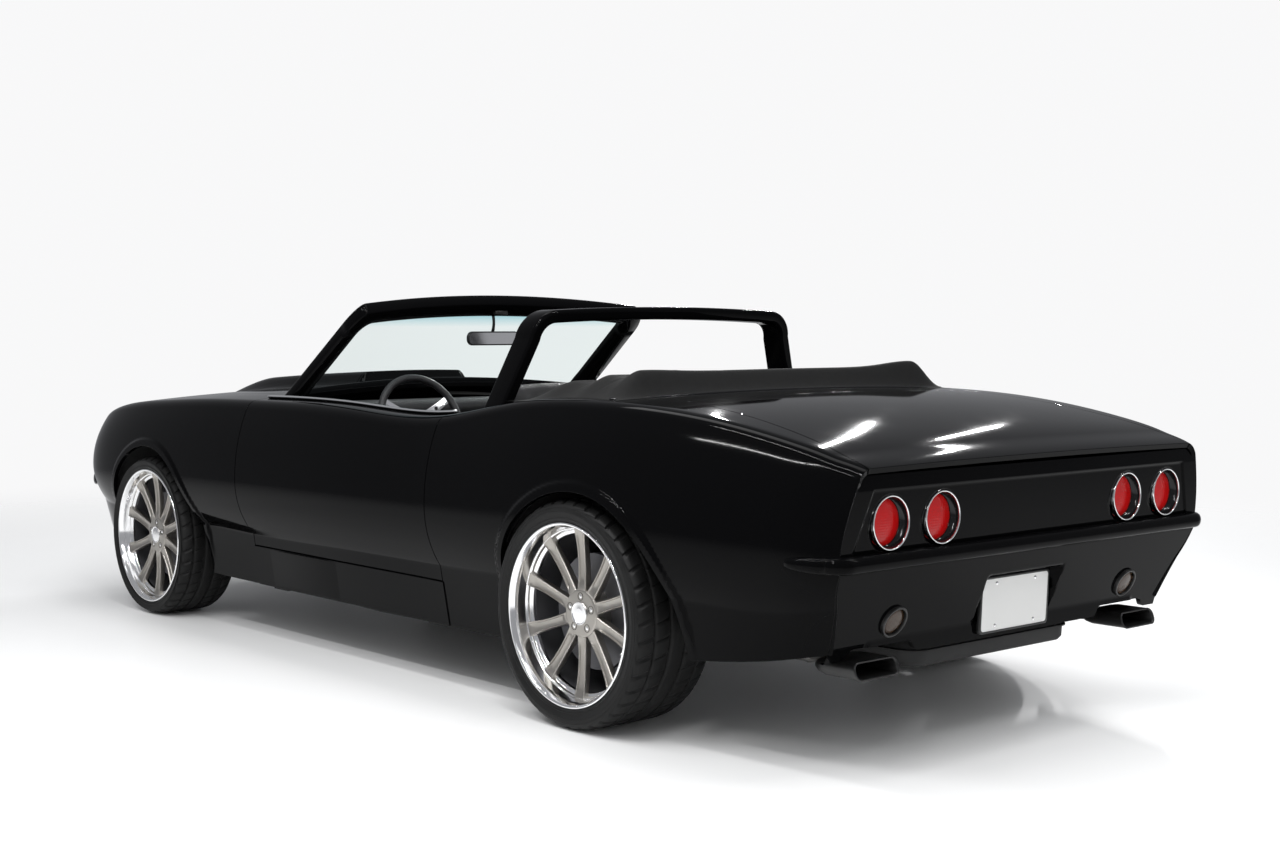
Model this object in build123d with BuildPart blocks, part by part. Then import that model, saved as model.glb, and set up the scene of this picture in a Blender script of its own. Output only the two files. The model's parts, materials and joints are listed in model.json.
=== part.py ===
"""Open two-seat-row muscle car of the late 1960s, lowered on wide wheels, roof folded under a fabric boot.

Millimetres. +X points forward, +Y to the car's left, +Z up. The origin is on the ground below the
middle of the car. Outer skins are cut from one lofted body form, so that panels line up at their gaps.
"""

import os
from math import asin, atan2, cos, degrees, radians, sin

from build123d import *

os.makedirs("parts", exist_ok=True)

# Overall sizes and axle places
overall_length = 4692
front_overhang = 931
wheelbase = 2746
front_x = overall_length / 2
rear_x = -overall_length / 2
front_axle_x = front_x - front_overhang
rear_axle_x = front_axle_x - wheelbase

# Body walls and gaps
skin = 22
panel_gap = 6
seat_gap = 0.3
shoulder_radius = 55

# Wheels
front_tyre_radius = 320
rear_tyre_radius = 336
front_tyre_width = 246
rear_tyre_width = 294
front_face_y = 884
rear_face_y = 912
rim_radius = 271
tyre_bulge = 5
tyre_bead_height = 14
tyre_shoulder_drop = 14
tyre_shoulder_width = 22
bead_radius = 254
spoke_count = 10
spoke_width = 26
spoke_depth = 24
front_dish = 48
rear_dish = 66
hub_radius = 66
spindle_radius = 28
spindle_clearance = 0.08
rotor_radius = 172
rotor_thickness = 26

# Wheel arches
arch_radius = 400
rear_arch_radius = 404
front_arch_x = front_axle_x - 14
rear_arch_x = rear_axle_x - 34
front_arch_z = 288
rear_arch_z = 296
house_clearance = 42
house_wall = 6
front_house_inner_y = 470
rear_house_inner_y = 585
house_outer_y = 850
front_lip_y = 905
rear_lip_y = 928
lip_width = 34
lip_inner_y = 868

# Panel lines, measured along the car and across it
door_front_x = 640
door_rear_x = -600
door_bottom_z = 348
door_inner_y = 755
door_edge_slope = 27
cowl_rear_x = 560
hood_rear_x = 800
hood_front_x = 2150
hood_half_rear = 640
hood_half_front = 600
lid_front_x = -1557
lid_half_front = 640
lid_half_rear = 742
lid_edge_z = 700
deck_front_x = -1376
cockpit_half_width = 715
pillar_wall_front_x = -930

# Tail: deck edge, panel foot and valance foot in the side view
deck_edge_z = 785
tail_top_x = rear_x + 8
tail_foot_x = rear_x + 34
tail_foot_z = 583
valance_foot_x = rear_x + 131
valance_foot_z = 300
tail_wall = 20
rear_bumper_top_z = 596
rear_bumper_bottom_z = 548
rear_bumper_tip_x = -2169
bumper_stand_off = 12

# Nose: foremost line, bumper and valance
nose_bow = 60
nose_x = front_x - 16
nose_turn_z = 560
nose_foot_x = nose_x - 150
nose_foot_z = 330
front_bumper_top_z = 528
front_bumper_bottom_z = 458
front_bumper_tip_x = 2130
grille_half_width = 640
grille_bottom_z = 548
grille_top_z = 682
grille_setback = 46
grille_bar = 8
grille_bar_count = 9
headlamp_y = 545
headlamp_radius = 56

# Lamps at the tail
lamp_y = (636.5, 428)
lamp_z = 670
lamp_radius = 72
lamp_wall = 5
lamp_depth = 62
lamp_recess = 38
reverse_lamp_y = 535
reverse_lamp_z = 395
reverse_lamp_radius = 42
plate_width = 320
plate_height = 168
plate_z = 392
plate_bolt_x = 178
plate_bolt_z = 121
plate_bolt_radius = 3.5

# Floor and frame
floor_z = 205
floor_thickness = 14
rocker_bottom_z = 200
rocker_inner_y = 700
jack_pad_z = 186
tunnel_half_width = 130
tunnel_crown_half = 95
tunnel_top_z = 360
firewall_x = 620
bulkhead_x = -1150
sheet = 12
trunk_floor_z = 330
axle_hump_z = 440
rail_y = 425
rail_width = 60
rail_height = 85

# Cabin
wheel_centre = (190, 370, 820)
steering_radius = 185
steering_rim = 14
column_angle = 22
column_radius = 26
seat_y = 350
seat_width = 470

# Windscreen and hoop
screen_base = (632, 735, 860)
screen_base_bow = 120
screen_top = (150, 690, 1222)
screen_top_bow = 75
header_rise = 40
screen_open_top = 1204
frame_thickness = 45
glass_thickness = 6
hoop_tube = 45
hoop_depth = 100
hoop_base_x = -682
hoop_lean = 11


def side_arc(waist_y, waist_z, end_y, end_z):
    """Three points of the arc that leaves the waist upright and ends at the given point."""
    in_y = waist_y - end_y
    rise = end_z - waist_z
    radius = (in_y**2 + rise**2) / (2 * in_y)
    half_turn = asin(rise / radius) / 2
    middle = (waist_y - radius + radius * cos(half_turn), waist_z + radius * sin(half_turn))
    return (waist_y, waist_z), middle, (end_y, end_z)


# Body sections. Columns: x, waist y and z, shoulder y and z, crown z, tuck y and z, sill y and z
SECTIONS = [
    (rear_x + 6, 806, 600, 764, 806, 812, 752, 470, 650, 340),
    (rear_x + 100, 852, 600, 778, 842, 852, 800, 450, 735, 330),
    (rear_x + 250, 882, 600, 790, 880, 895, 836, 430, 795, 302),
    (rear_axle_x - 470, 905, 604, 800, 928, 946, 864, 430, 826, 262),
    (rear_axle_x, 920, 610, 812, 956, 976, 872, 420, 828, 225),
    (rear_axle_x + 380, 909, 605, 820, 938, 965, 858, 410, 815, 205),
    (door_rear_x, 900, 600, 835, 884, 930, 838, 400, 803, 200),
    (0, 902, 600, 842, 888, 940, 834, 395, 800, 200),
    (door_front_x, 903, 598, 836, 892, 945, 826, 390, 798, 200),
    (front_axle_x - 400, 902, 595, 832, 886, 930, 832, 400, 805, 205),
    (front_axle_x, 896, 590, 822, 868, 908, 842, 400, 815, 225),
    (front_axle_x + 385, 872, 580, 795, 838, 874, 826, 410, 800, 262),
    (front_x - 296, 822, 570, 742, 796, 828, 772, 420, 742, 300),
    (front_x - 146, 754, 565, 668, 758, 786, 702, 440, 662, 318),
    (nose_x, 668, 560, 590, 708, 732, 612, 450, 570, 328),
]


def body_form(inset):
    """The whole outer form as one solid, drawn in by inset all round."""
    with BuildPart() as form:
        for x, waist_y, waist_z, top_y, top_z, crown_z, tuck_y, tuck_z, sill_y, sill_z in SECTIONS:
            up = side_arc(waist_y - inset, waist_z, top_y - inset, top_z - inset)
            down = side_arc(waist_y - inset, waist_z, tuck_y - inset, tuck_z)
            foot = (sill_y - inset, sill_z + inset)
            with BuildSketch(Plane.YZ.offset(x)) as section:
                with BuildLine():
                    ThreePointArc((-up[2][0], up[2][1]), (0, crown_z - inset), up[2])
                    ThreePointArc(*up)
                    ThreePointArc(*down)
                    Polyline(down[2], foot, (-foot[0], foot[1]), (-down[2][0], down[2][1]))
                    ThreePointArc(*[(-y, z) for y, z in down])
                    ThreePointArc(*[(-y, z) for y, z in up])
                make_face()
                corners = [v for v in section.vertices() if abs(v.Z - up[2][1]) < 1e-3]
                fillet(corners, shoulder_radius - inset / 2)
        loft()
    return form.part


def side_prism(points, y_low, y_high):
    """An outline of the side view, filled across the car from y_low to y_high."""
    with BuildPart() as prism:
        with BuildSketch(Plane.XZ.offset(-y_high)):
            with BuildLine():
                Polyline(points, close=True)
            make_face()
        extrude(amount=y_high - y_low)
    return prism.part


def plan_prism(points, z_low, z_high):
    """An outline of the plan view, filled upwards from z_low to z_high."""
    with BuildPart() as prism:
        with BuildSketch(Plane.XY.offset(z_low)):
            with BuildLine():
                Polyline(points, close=True)
            make_face()
        extrude(amount=z_high - z_low)
    return prism.part


def span(x_low, x_high, y_low, y_high, z_low, z_high):
    """A plain block between the given limits."""
    return plan_prism([(x_low, y_low), (x_high, y_low), (x_high, y_high), (x_low, y_high)], z_low, z_high)


def disc(x, z, radius, y_low, y_high):
    """A cylinder that lies across the car."""
    with BuildPart() as cylinder:
        with BuildSketch(Plane.XZ.offset(-y_high)):
            with Locations((x, z)):
                Circle(radius)
        extrude(amount=y_high - y_low)
    return cylinder.part


def barrel(y, z, radius, x_low, x_high):
    """A cylinder that lies along the car."""
    with BuildPart() as cylinder:
        with BuildSketch(Plane.YZ.offset(x_low)):
            with Locations((y, z)):
                Circle(radius)
        extrude(amount=x_high - x_low)
    return cylinder.part


def write(piece, name):
    piece.part.label = name
    export_step(piece.part, f"parts/{name}.step")


outer_form = body_form(0)
inner_form = body_form(skin)
beyond = 60
low_z = rocker_bottom_z - beyond
high_z = 1100
wide_y = 1000

# Everything behind the tail line, and everything ahead of the nose line
tail_line = [(tail_top_x, deck_edge_z), (tail_foot_x, tail_foot_z), (tail_foot_x, rear_bumper_bottom_z)]
tail_line.append((valance_foot_x, valance_foot_z))
tail_cut = side_prism(
    [(rear_x - beyond, deck_edge_z)] + tail_line + [(valance_foot_x, low_z), (rear_x - beyond, low_z)],
    -wide_y,
    wide_y,
)
nose_line = [(nose_x, grille_top_z), (nose_x, nose_turn_z), (nose_foot_x, nose_foot_z)]


def nose_cut(setback):
    """What lies ahead of the bowed front face, moved back by setback."""
    with BuildPart() as ahead:
        with BuildSketch(Plane.XY.offset(low_z)):
            with BuildLine():
                bow_end = (nose_x - nose_bow - setback, grille_half_width + 60)
                ThreePointArc((bow_end[0], -bow_end[1]), (nose_x - setback, 0), bow_end)
                Polyline(bow_end, (front_x + beyond, wide_y), (front_x + beyond, -wide_y), (bow_end[0], -bow_end[1]))
            make_face()
        extrude(amount=high_z - low_z)
        under = [(x - setback, z) for x, z in nose_line[1:]]
        end = [(nose_foot_x - setback, low_z), (front_x + beyond, low_z), (front_x + beyond, nose_turn_z)]
        add(side_prism(under + end, -wide_y, wide_y))
    return ahead.part


front_cut = nose_cut(0)
front_inner_cut = nose_cut(skin)

with BuildPart() as trimmed_form:
    add(outer_form)
    add(tail_cut, mode=Mode.SUBTRACT)
    add(front_cut, mode=Mode.SUBTRACT)

with BuildPart() as shell:
    add(trimmed_form.part)
    add(inner_form, mode=Mode.SUBTRACT)

half_gap = panel_gap / 2
hood_line = [
    (hood_rear_x + half_gap, hood_half_rear - half_gap),
    (hood_front_x - half_gap, hood_half_front - half_gap),
]

# Hood with its raised centre, hinged at the cowl
BULGE = [
    (hood_rear_x + half_gap, 300, 240, 958),
    (front_axle_x, 296, 232, 944),
    (front_axle_x + 330, 288, 222, 929),
    (front_x - 331, 270, 205, 893),
    (hood_front_x - 30, 240, 180, 800),
]
bulge_root_z = [930, 892, 862, 822, 792]
with BuildPart() as hood:
    add(shell.part)
    edge = hood_line + [(x, -y) for x, y in reversed(hood_line)]
    add(plan_prism(edge, lid_edge_z, high_z), mode=Mode.INTERSECT)
    for (x, foot_y, top_y, top_z), root_z in zip(BULGE, bulge_root_z):
        with BuildSketch(Plane.YZ.offset(x)):
            with BuildLine():
                Polyline((foot_y, root_z), (top_y, top_z), (-top_y, top_z), (-foot_y, root_z), close=True)
            make_face()
    loft()
write(hood, "hood")

# Front fenders, from the door to the nose
with BuildPart() as front_fender_left:
    add(shell.part)
    inner_edge = [
        (door_front_x + half_gap, hood_half_rear + half_gap),
        (hood_rear_x + half_gap, hood_half_rear + half_gap),
        (hood_front_x - half_gap, hood_half_front + half_gap),
    ]
    outer_edge = [(hood_front_x - half_gap, wide_y), (door_front_x + half_gap, wide_y)]
    add(plan_prism(inner_edge + outer_edge, low_z, high_z), mode=Mode.INTERSECT)
    add(disc(front_arch_x, front_arch_z, arch_radius, 0, wide_y), mode=Mode.SUBTRACT)
    with BuildSketch(Plane.XZ.offset(-front_lip_y)):
        with Locations((front_arch_x, front_arch_z)):
            Circle(arch_radius + lip_width)
            Circle(arch_radius, mode=Mode.SUBTRACT)
            Rectangle(3 * arch_radius, arch_radius + lip_width, align=(Align.CENTER, Align.MAX), mode=Mode.SUBTRACT)
    extrude(amount=front_lip_y - lip_inner_y)
write(front_fender_left, "front_fender_left")
with BuildPart() as front_fender_right:
    mirror(front_fender_left.part, about=Plane.XZ)
write(front_fender_right, "front_fender_right")

# Rear quarters: skin, thick wall beside the rear seat, arch lip
striker_y = 832
door_plan = [
    (door_front_x - half_gap, door_inner_y),
    (door_front_x - half_gap, wide_y),
    (door_rear_x + half_gap, wide_y),
    (door_rear_x + half_gap, 905),
    (door_rear_x + half_gap + door_edge_slope, door_inner_y),
]
jamb_x = door_rear_x - half_gap
jamb = [(jamb_x + door_edge_slope, cockpit_half_width), (jamb_x, 905), (jamb_x, wide_y)]
with BuildPart() as side_wall:
    add(trimmed_form.part)
    wall_plan = jamb + [(pillar_wall_front_x, wide_y), (pillar_wall_front_x, cockpit_half_width)]
    add(plan_prism(wall_plan, low_z, high_z), mode=Mode.INTERSECT)
with BuildPart() as quarter_form:
    add(shell.part)
    region = jamb + [
        (rear_x - beyond, wide_y),
        (rear_x - beyond, lid_half_rear + half_gap),
        (lid_front_x - half_gap, lid_half_front + half_gap),
        (deck_front_x, lid_half_front + half_gap),
        (deck_front_x, cockpit_half_width),
    ]
    add(plan_prism(region, low_z, high_z), mode=Mode.INTERSECT)
    add(side_wall.part)
    add(disc(rear_arch_x, rear_arch_z, rear_arch_radius, 0, wide_y), mode=Mode.SUBTRACT)
    with BuildSketch(Plane.XZ.offset(-rear_lip_y)):
        with Locations((rear_arch_x, rear_arch_z)):
            Circle(rear_arch_radius + lip_width)
            Circle(rear_arch_radius, mode=Mode.SUBTRACT)
            Rectangle(3 * arch_radius, arch_radius + 2 * lip_width, align=(Align.CENTER, Align.MAX), mode=Mode.SUBTRACT)
    extrude(amount=rear_lip_y - lip_inner_y)
    with BuildPart(mode=Mode.PRIVATE) as striker:
        add(span(jamb_x - 20, jamb_x + 30, striker_y - 12, striker_y + 12, 600, 624))
        add(plan_prism([(x - seat_gap, y) for x, y in door_plan], low_z, high_z), mode=Mode.SUBTRACT)
    add(striker.part)
with BuildPart() as quarter_left:
    add(quarter_form.solids().sort_by(SortBy.VOLUME)[-1])
write(quarter_left, "quarter_left")
with BuildPart() as quarter_right:
    mirror(quarter_left.part, about=Plane.XZ)
write(quarter_right, "quarter_right")

# Doors, as thick as the real ones, with a rear edge bevelled to clear the jamb
with BuildPart() as door_left:
    add(outer_form)
    add(plan_prism(door_plan, door_bottom_z, high_z), mode=Mode.INTERSECT)
write(door_left, "door_left")
with BuildPart() as door_right:
    mirror(door_left.part, about=Plane.XZ)
write(door_right, "door_right")

# Cowl between the fenders, ahead of the windscreen
with BuildPart() as cowl_panel:
    add(shell.part)
    cowl_half = hood_half_rear + half_gap
    add(span(cowl_rear_x, hood_rear_x - half_gap, -cowl_half, cowl_half, lid_edge_z, high_z), mode=Mode.INTERSECT)
write(cowl_panel, "cowl_panel")

# Deck strip between the boot cover and the trunk lid
with BuildPart() as deck_panel:
    add(shell.part)
    add(span(lid_front_x + half_gap, deck_front_x, -lid_half_front, lid_half_front, lid_edge_z, high_z), mode=Mode.INTERSECT)
write(deck_panel, "deck_panel")

# Trunk lid, down to the deck edge
with BuildPart() as trunk_lid:
    add(shell.part)
    lid_line = [(rear_x - beyond, lid_half_rear - half_gap), (lid_front_x - half_gap, lid_half_front - half_gap)]
    edge = lid_line + [(x, -y) for x, y in reversed(lid_line)]
    add(plan_prism(edge, deck_edge_z + panel_gap, high_z), mode=Mode.INTERSECT)
write(trunk_lid, "trunk_lid")

# Tail panel with four lamp holes
panel_top = (tail_top_x, deck_edge_z)
panel_foot = (tail_foot_x, tail_foot_z)
lip_foot = (tail_foot_x, rear_bumper_bottom_z)
with BuildPart() as tail_panel:
    add(inner_form)
    outline = [panel_top, panel_foot, lip_foot]
    outline += [(x + tail_wall, z) for x, z in reversed(outline)]
    add(side_prism(outline, -wide_y, wide_y), mode=Mode.INTERSECT)
    with BuildSketch(Plane.YZ.offset(rear_x)):
        with Locations([(side * y, lamp_z) for side in (-1, 1) for y in lamp_y]):
            Circle(lamp_radius + seat_gap)
    extrude(amount=2 * beyond, mode=Mode.SUBTRACT)
    add(span(tail_top_x + 4, tail_top_x + 17, -30, 30, deck_edge_z - 6, deck_edge_z + panel_gap - seat_gap))
write(tail_panel, "tail_panel")

# Round tail lamps: a bright tube with a lens set deep in it
lamp_front_x = rear_x + 18
with BuildPart() as tail_lamps:
    with BuildSketch(Plane.YZ.offset(lamp_front_x)):
        with Locations([(side * y, lamp_z) for side in (-1, 1) for y in lamp_y]):
            Circle(lamp_radius)
    extrude(amount=lamp_depth)
    with BuildSketch(Plane.YZ.offset(lamp_front_x)):
        with Locations([(side * y, lamp_z) for side in (-1, 1) for y in lamp_y]):
            Circle(lamp_radius - lamp_wall)
    extrude(amount=lamp_recess, mode=Mode.SUBTRACT)
write(tail_lamps, "tail_lamps")

# Valance below the rear bumper with its plate recess and two round reverse lamps
with BuildPart() as rear_valance:
    add(inner_form)
    outline = [lip_foot, (valance_foot_x, valance_foot_z)]
    outline += [(x + tail_wall, z) for x, z in reversed(outline)]
    add(side_prism(outline, -wide_y, wide_y), mode=Mode.INTERSECT)
    plate_bottom = plate_z - plate_height / 2
    plate_top = plate_z + plate_height / 2
    add(span(rear_x, rear_x + 200, -plate_width / 2, plate_width / 2, plate_bottom, plate_top), mode=Mode.SUBTRACT)
    plate_x = tail_foot_x + 70
    bracket = span(plate_x, plate_x + sheet, -plate_width / 2, plate_width / 2, plate_bottom, plate_top)
    add(bracket)
    for side in (-1, 1):
        add(barrel(side * reverse_lamp_y, reverse_lamp_z, reverse_lamp_radius, valance_foot_x - 55, valance_foot_x + 15))
        add(barrel(side * reverse_lamp_y, reverse_lamp_z, reverse_lamp_radius - lamp_wall, valance_foot_x - 56, valance_foot_x - 40), mode=Mode.SUBTRACT)
    with BuildSketch(Plane.YZ.offset(plate_x)):
        with Locations((0, plate_z)):
            with GridLocations(plate_bolt_x, plate_bolt_z, 2, 2):
                Circle(plate_bolt_radius)
    extrude(amount=2 * sheet, both=True, mode=Mode.SUBTRACT)
write(rear_valance, "rear_valance")


def bumper(face_x, tip_x, side_y, tip_y, corner, z_low, z_high):
    """A blade that wraps the end of the body, with the body's own form cut out of it."""
    with BuildPart() as blade:
        with BuildSketch(Plane.XY.offset(z_low)) as plan:
            with BuildLine():
                Polyline((tip_x, -tip_y), (face_x, -side_y), (face_x, side_y), (tip_x, tip_y), close=True)
            make_face()
            ends = plan.vertices().sort_by(lambda v: abs(v.X - face_x))[:2]
            fillet(ends, corner)
        extrude(amount=z_high - z_low)
        front_top = blade.edges().filter_by(GeomType.LINE).filter_by(Axis.Y).sort_by(lambda e: abs(e.center().X - face_x))
        fillet(front_top[:2], 14)
        add(trimmed_form.part, mode=Mode.SUBTRACT)
    return blade.part


with BuildPart() as rear_bumper:
    add(bumper(rear_x, rear_bumper_tip_x, 812, 890, 60, rear_bumper_bottom_z, rear_bumper_top_z))
write(rear_bumper, "rear_bumper")

with BuildPart() as front_bumper:
    add(bumper(front_x, front_bumper_tip_x, 660, 806, 70, front_bumper_bottom_z, front_bumper_top_z))
write(front_bumper, "front_bumper")

# Nose: header above the bumper with a wide grille opening, valance below it
nose_rear_x = hood_front_x + half_gap
with BuildPart() as nose_panel:
    add(trimmed_form.part)
    with BuildPart(mode=Mode.PRIVATE) as inside:
        add(inner_form)
        add(front_inner_cut, mode=Mode.SUBTRACT)
    add(inside.part, mode=Mode.SUBTRACT)
    add(span(nose_rear_x, front_x, -wide_y, wide_y, front_bumper_bottom_z, high_z), mode=Mode.INTERSECT)
    with BuildSketch(Plane.YZ.offset(nose_rear_x)):
        with Locations((0, (grille_bottom_z + grille_top_z) / 2)):
            RectangleRounded(2 * grille_half_width, grille_top_z - grille_bottom_z, 55)
    extrude(amount=2 * nose_bow + front_x - nose_rear_x, mode=Mode.SUBTRACT)
    with BuildPart(mode=Mode.PRIVATE) as latch_shelf:
        add(span(hood_front_x - 40, hood_front_x + 25, -60, 60, 745, 790))
        add(Pos(0, 0, -seat_gap) * hood.part, mode=Mode.SUBTRACT)
    add(latch_shelf.solids().sort_by(SortBy.VOLUME)[-1])
write(nose_panel, "nose_panel")

with BuildPart() as front_valance:
    add(trimmed_form.part)
    add(inside.part, mode=Mode.SUBTRACT)
    add(span(nose_rear_x, front_x, -wide_y, wide_y, low_z, front_bumper_bottom_z), mode=Mode.INTERSECT)
    add(span(nose_rear_x, front_x, -360, 360, 372, 428), mode=Mode.SUBTRACT)
write(front_valance, "front_valance")

# Grille: a rounded surround with level bars and two lamp rings
grille_x = nose_x - nose_bow - grille_setback
grille_height = grille_top_z - grille_bottom_z
with BuildPart() as grille:
    with BuildSketch(Plane.YZ.offset(grille_x)):
        with Locations((0, (grille_bottom_z + grille_top_z) / 2)):
            RectangleRounded(2 * (grille_half_width - seat_gap), grille_height - 2 * seat_gap, 55 - seat_gap)
            RectangleRounded(2 * (grille_half_width - 10), grille_height - 20, 45, mode=Mode.SUBTRACT)
            with GridLocations(0, grille_height / grille_bar_count, 1, grille_bar_count - 1):
                Rectangle(2 * (grille_half_width - 6), grille_bar)
        with Locations([(side * headlamp_y, (grille_bottom_z + grille_top_z) / 2) for side in (-1, 1)]):
            Circle(headlamp_radius + 9)
            Circle(headlamp_radius, mode=Mode.SUBTRACT)
    extrude(amount=20)
    with BuildSketch(Plane.YZ.offset(grille_x)):
        with Locations((0, (grille_bottom_z + grille_top_z) / 2)):
            RectangleRounded(2 * (grille_half_width - seat_gap), grille_height - 2 * seat_gap, 55 - seat_gap)
            RectangleRounded(2 * (grille_half_width - 10), grille_height - 20, 45, mode=Mode.SUBTRACT)
    extrude(amount=nose_x - grille_x)
    add(nose_cut(skin / 2), mode=Mode.SUBTRACT)
write(grille, "grille")

headlamp_z = (grille_bottom_z + grille_top_z) / 2
with BuildPart() as headlamps:
    with BuildSketch(Plane.YZ.offset(grille_x - 60)):
        with Locations([(side * headlamp_y, headlamp_z) for side in (-1, 1)]):
            Circle(headlamp_radius - seat_gap)
    extrude(amount=84)
write(headlamps, "headlamps")

# Floor, sills, tunnel, bulkheads
def ribbon(points, thickness):
    """An outline of even height that follows the given lower line."""
    return points + [(x, z + thickness) for x, z in reversed(points)]


floor_rear_x = -900
trunk_rear_x = tail_foot_x + tail_wall + 70
hump = [
    (floor_rear_x, floor_z),
    (floor_rear_x - 170, axle_hump_z),
    (rear_axle_x - 300, axle_hump_z),
    (rear_axle_x - 400, trunk_floor_z),
    (trunk_rear_x, trunk_floor_z),
]
with BuildPart() as underbody:
    add(span(floor_rear_x, firewall_x, -rocker_inner_y, rocker_inner_y, floor_z, floor_z + floor_thickness))
    add(side_prism(ribbon(hump, floor_thickness), -rear_house_inner_y, rear_house_inner_y))
    tunnel_outline = [(-tunnel_half_width, floor_z), (tunnel_half_width, floor_z), (tunnel_crown_half, tunnel_top_z), (-tunnel_crown_half, tunnel_top_z)]
    with BuildSketch(Plane.YZ.offset(floor_rear_x)):
        with BuildLine():
            Polyline(tunnel_outline, close=True)
        make_face()
    extrude(amount=firewall_x - floor_rear_x)
    with BuildSketch(Plane.YZ.offset(floor_rear_x - beyond)):
        with BuildLine():
            Polyline([(y * 0.92, z - sheet) for y, z in tunnel_outline], close=True)
        make_face()
    extrude(amount=firewall_x - floor_rear_x + 2 * beyond, mode=Mode.SUBTRACT)
    for side in (-1, 1):
        with BuildPart(mode=Mode.PRIVATE) as sill:
            add(outer_form)
            sill_edge = [side * rocker_inner_y, side * wide_y]
            ends = (jamb_x, door_front_x + half_gap)
            add(span(*ends, min(sill_edge), max(sill_edge), low_z, door_bottom_z - panel_gap), mode=Mode.INTERSECT)
            add(quarter_left.part if side > 0 else quarter_right.part, mode=Mode.SUBTRACT)
        add(sill.part)
    add(span(firewall_x, firewall_x + sheet, -rocker_inner_y, rocker_inner_y, floor_z, 870))
    for side in (-1, 1):
        pad_inner, pad_outer = sorted((side * 725, side * 775))
        for pad_x in (door_rear_x + 60, door_front_x - 160):
            add(span(pad_x, pad_x + 100, pad_inner, pad_outer, jack_pad_z, floor_z + floor_thickness))
    add(span(bulkhead_x - sheet, bulkhead_x, -rear_house_inner_y, rear_house_inner_y, axle_hump_z, 860))
write(underbody, "underbody")


def wheel_house(x, z, radius, inner_y, wall_level, panel):
    """A half-round inner arch with a flat wall on its inner side, trimmed to the outer panel."""
    with BuildPart() as house:
        add(disc(x, z, radius + house_clearance, inner_y, house_outer_y))
        add(disc(x, z, radius + house_clearance - house_wall, inner_y + house_wall, house_outer_y), mode=Mode.SUBTRACT)
        far = radius + 2 * house_clearance
        add(span(x - far, x + far, 0, wide_y, z - far, z), mode=Mode.SUBTRACT)
        add(span(x - far, x + far, 0, inner_y + house_wall, z, wall_level), mode=Mode.SUBTRACT)
        add(panel, mode=Mode.SUBTRACT)
    return house.solids().sort_by(SortBy.VOLUME)[-1]


with BuildPart() as rear_wheelhouses:
    house = wheel_house(rear_arch_x, rear_arch_z, rear_arch_radius, rear_house_inner_y, axle_hump_z, quarter_left.part)
    add(house)
    mirror(house, about=Plane.XZ)
write(rear_wheelhouses, "rear_wheelhouses")
with BuildPart() as front_wheelhouses:
    house = wheel_house(front_arch_x, front_arch_z, arch_radius, front_house_inner_y, 480, front_fender_left.part)
    add(house)
    mirror(house, about=Plane.XZ)
write(front_wheelhouses, "front_wheelhouses")

# Front frame: two rails, a cross member under the engine, arms out to the knuckles
kingpin_y = 716
cross_member_top_z = 240
arm_end_y = kingpin_y + 10
arm_half = 28
lower_arm_z = 232
upper_arm_z = 424
with BuildPart() as front_frame:
    for side in (-1, 1):
        inner, outer = sorted((side * (rail_y - rail_width / 2), side * (rail_y + rail_width / 2)))
        add(span(firewall_x + sheet, front_x - 210, inner, outer, 226, 226 + rail_height))
    add(span(front_axle_x - 70, front_axle_x + 70, -rail_y, rail_y, 196, cross_member_top_z))
    add(span(front_x - 280, front_x - 220, -rail_y, rail_y, 240, 300))
    for side in (-1, 1):
        tower_inner, tower_outer = sorted((side * (rail_y - 25), side * (rail_y + 25)))
        add(span(front_axle_x - 60, front_axle_x + 60, tower_inner, tower_outer, 300, upper_arm_z + 16))
        for z in (lower_arm_z, upper_arm_z):
            with BuildSketch(Plane.XY.offset(z)):
                with BuildLine():
                    root = side * rail_y
                    tip = side * arm_end_y
                    wide = front_axle_x + 120, front_axle_x - 120
                    if z == upper_arm_z:
                        wide = front_axle_x + 58, front_axle_x - 58
                    Polyline((wide[0], root), (front_axle_x + arm_half, tip), (front_axle_x - arm_half, tip), (wide[1], root), close=True)
                make_face()
            extrude(amount=16)
write(front_frame, "front_frame")

# Engine and gearbox as one plain block
engine_base_z = cross_member_top_z + seat_gap
with BuildPart() as engine:
    with BuildSketch(Plane.YZ.offset(firewall_x + 110)):
        with BuildLine():
            Polyline((-150, engine_base_z), (150, engine_base_z), (190, 420), (300, 560), (220, 700), (90, 760), close=False)
            Polyline((90, 760), (-90, 760), (-220, 700), (-300, 560), (-190, 420), (-150, engine_base_z))
        make_face()
    extrude(amount=620)
write(engine, "engine")

# Fuel tank, exhaust, rear axle
with BuildPart() as fuel_tank:
    add(span(rear_axle_x - 860, rear_axle_x - 430, -380, 380, 228, trunk_floor_z))
    fillet(fuel_tank.edges().filter_by(Axis.Z), 40)
write(fuel_tank, "fuel_tank")

tip_length = 170
with BuildPart() as exhaust:
    for side in (-1, 1):
        with BuildSketch(Plane.YZ.offset(rear_x + 90)):
            with Locations((side * 600, 272)):
                RectangleRounded(196, 54, 20)
        extrude(amount=tip_length)
        with BuildSketch(Plane.YZ.offset(rear_x + 90)):
            with Locations((side * 600, 272)):
                RectangleRounded(184, 42, 15)
        extrude(amount=tip_length - 20, mode=Mode.SUBTRACT)
        with BuildSketch(Plane.YZ.offset(rear_x + 90 + tip_length)):
            with Locations((side * 545, 272)):
                Circle(30)
        extrude(amount=470)
        muffler_x = rear_x + 90 + tip_length + 120
        add(span(muffler_x, muffler_x + 300, side * 510 - 68, side * 510 + 68, 240, trunk_floor_z - seat_gap))
write(exhaust, "exhaust")

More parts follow.
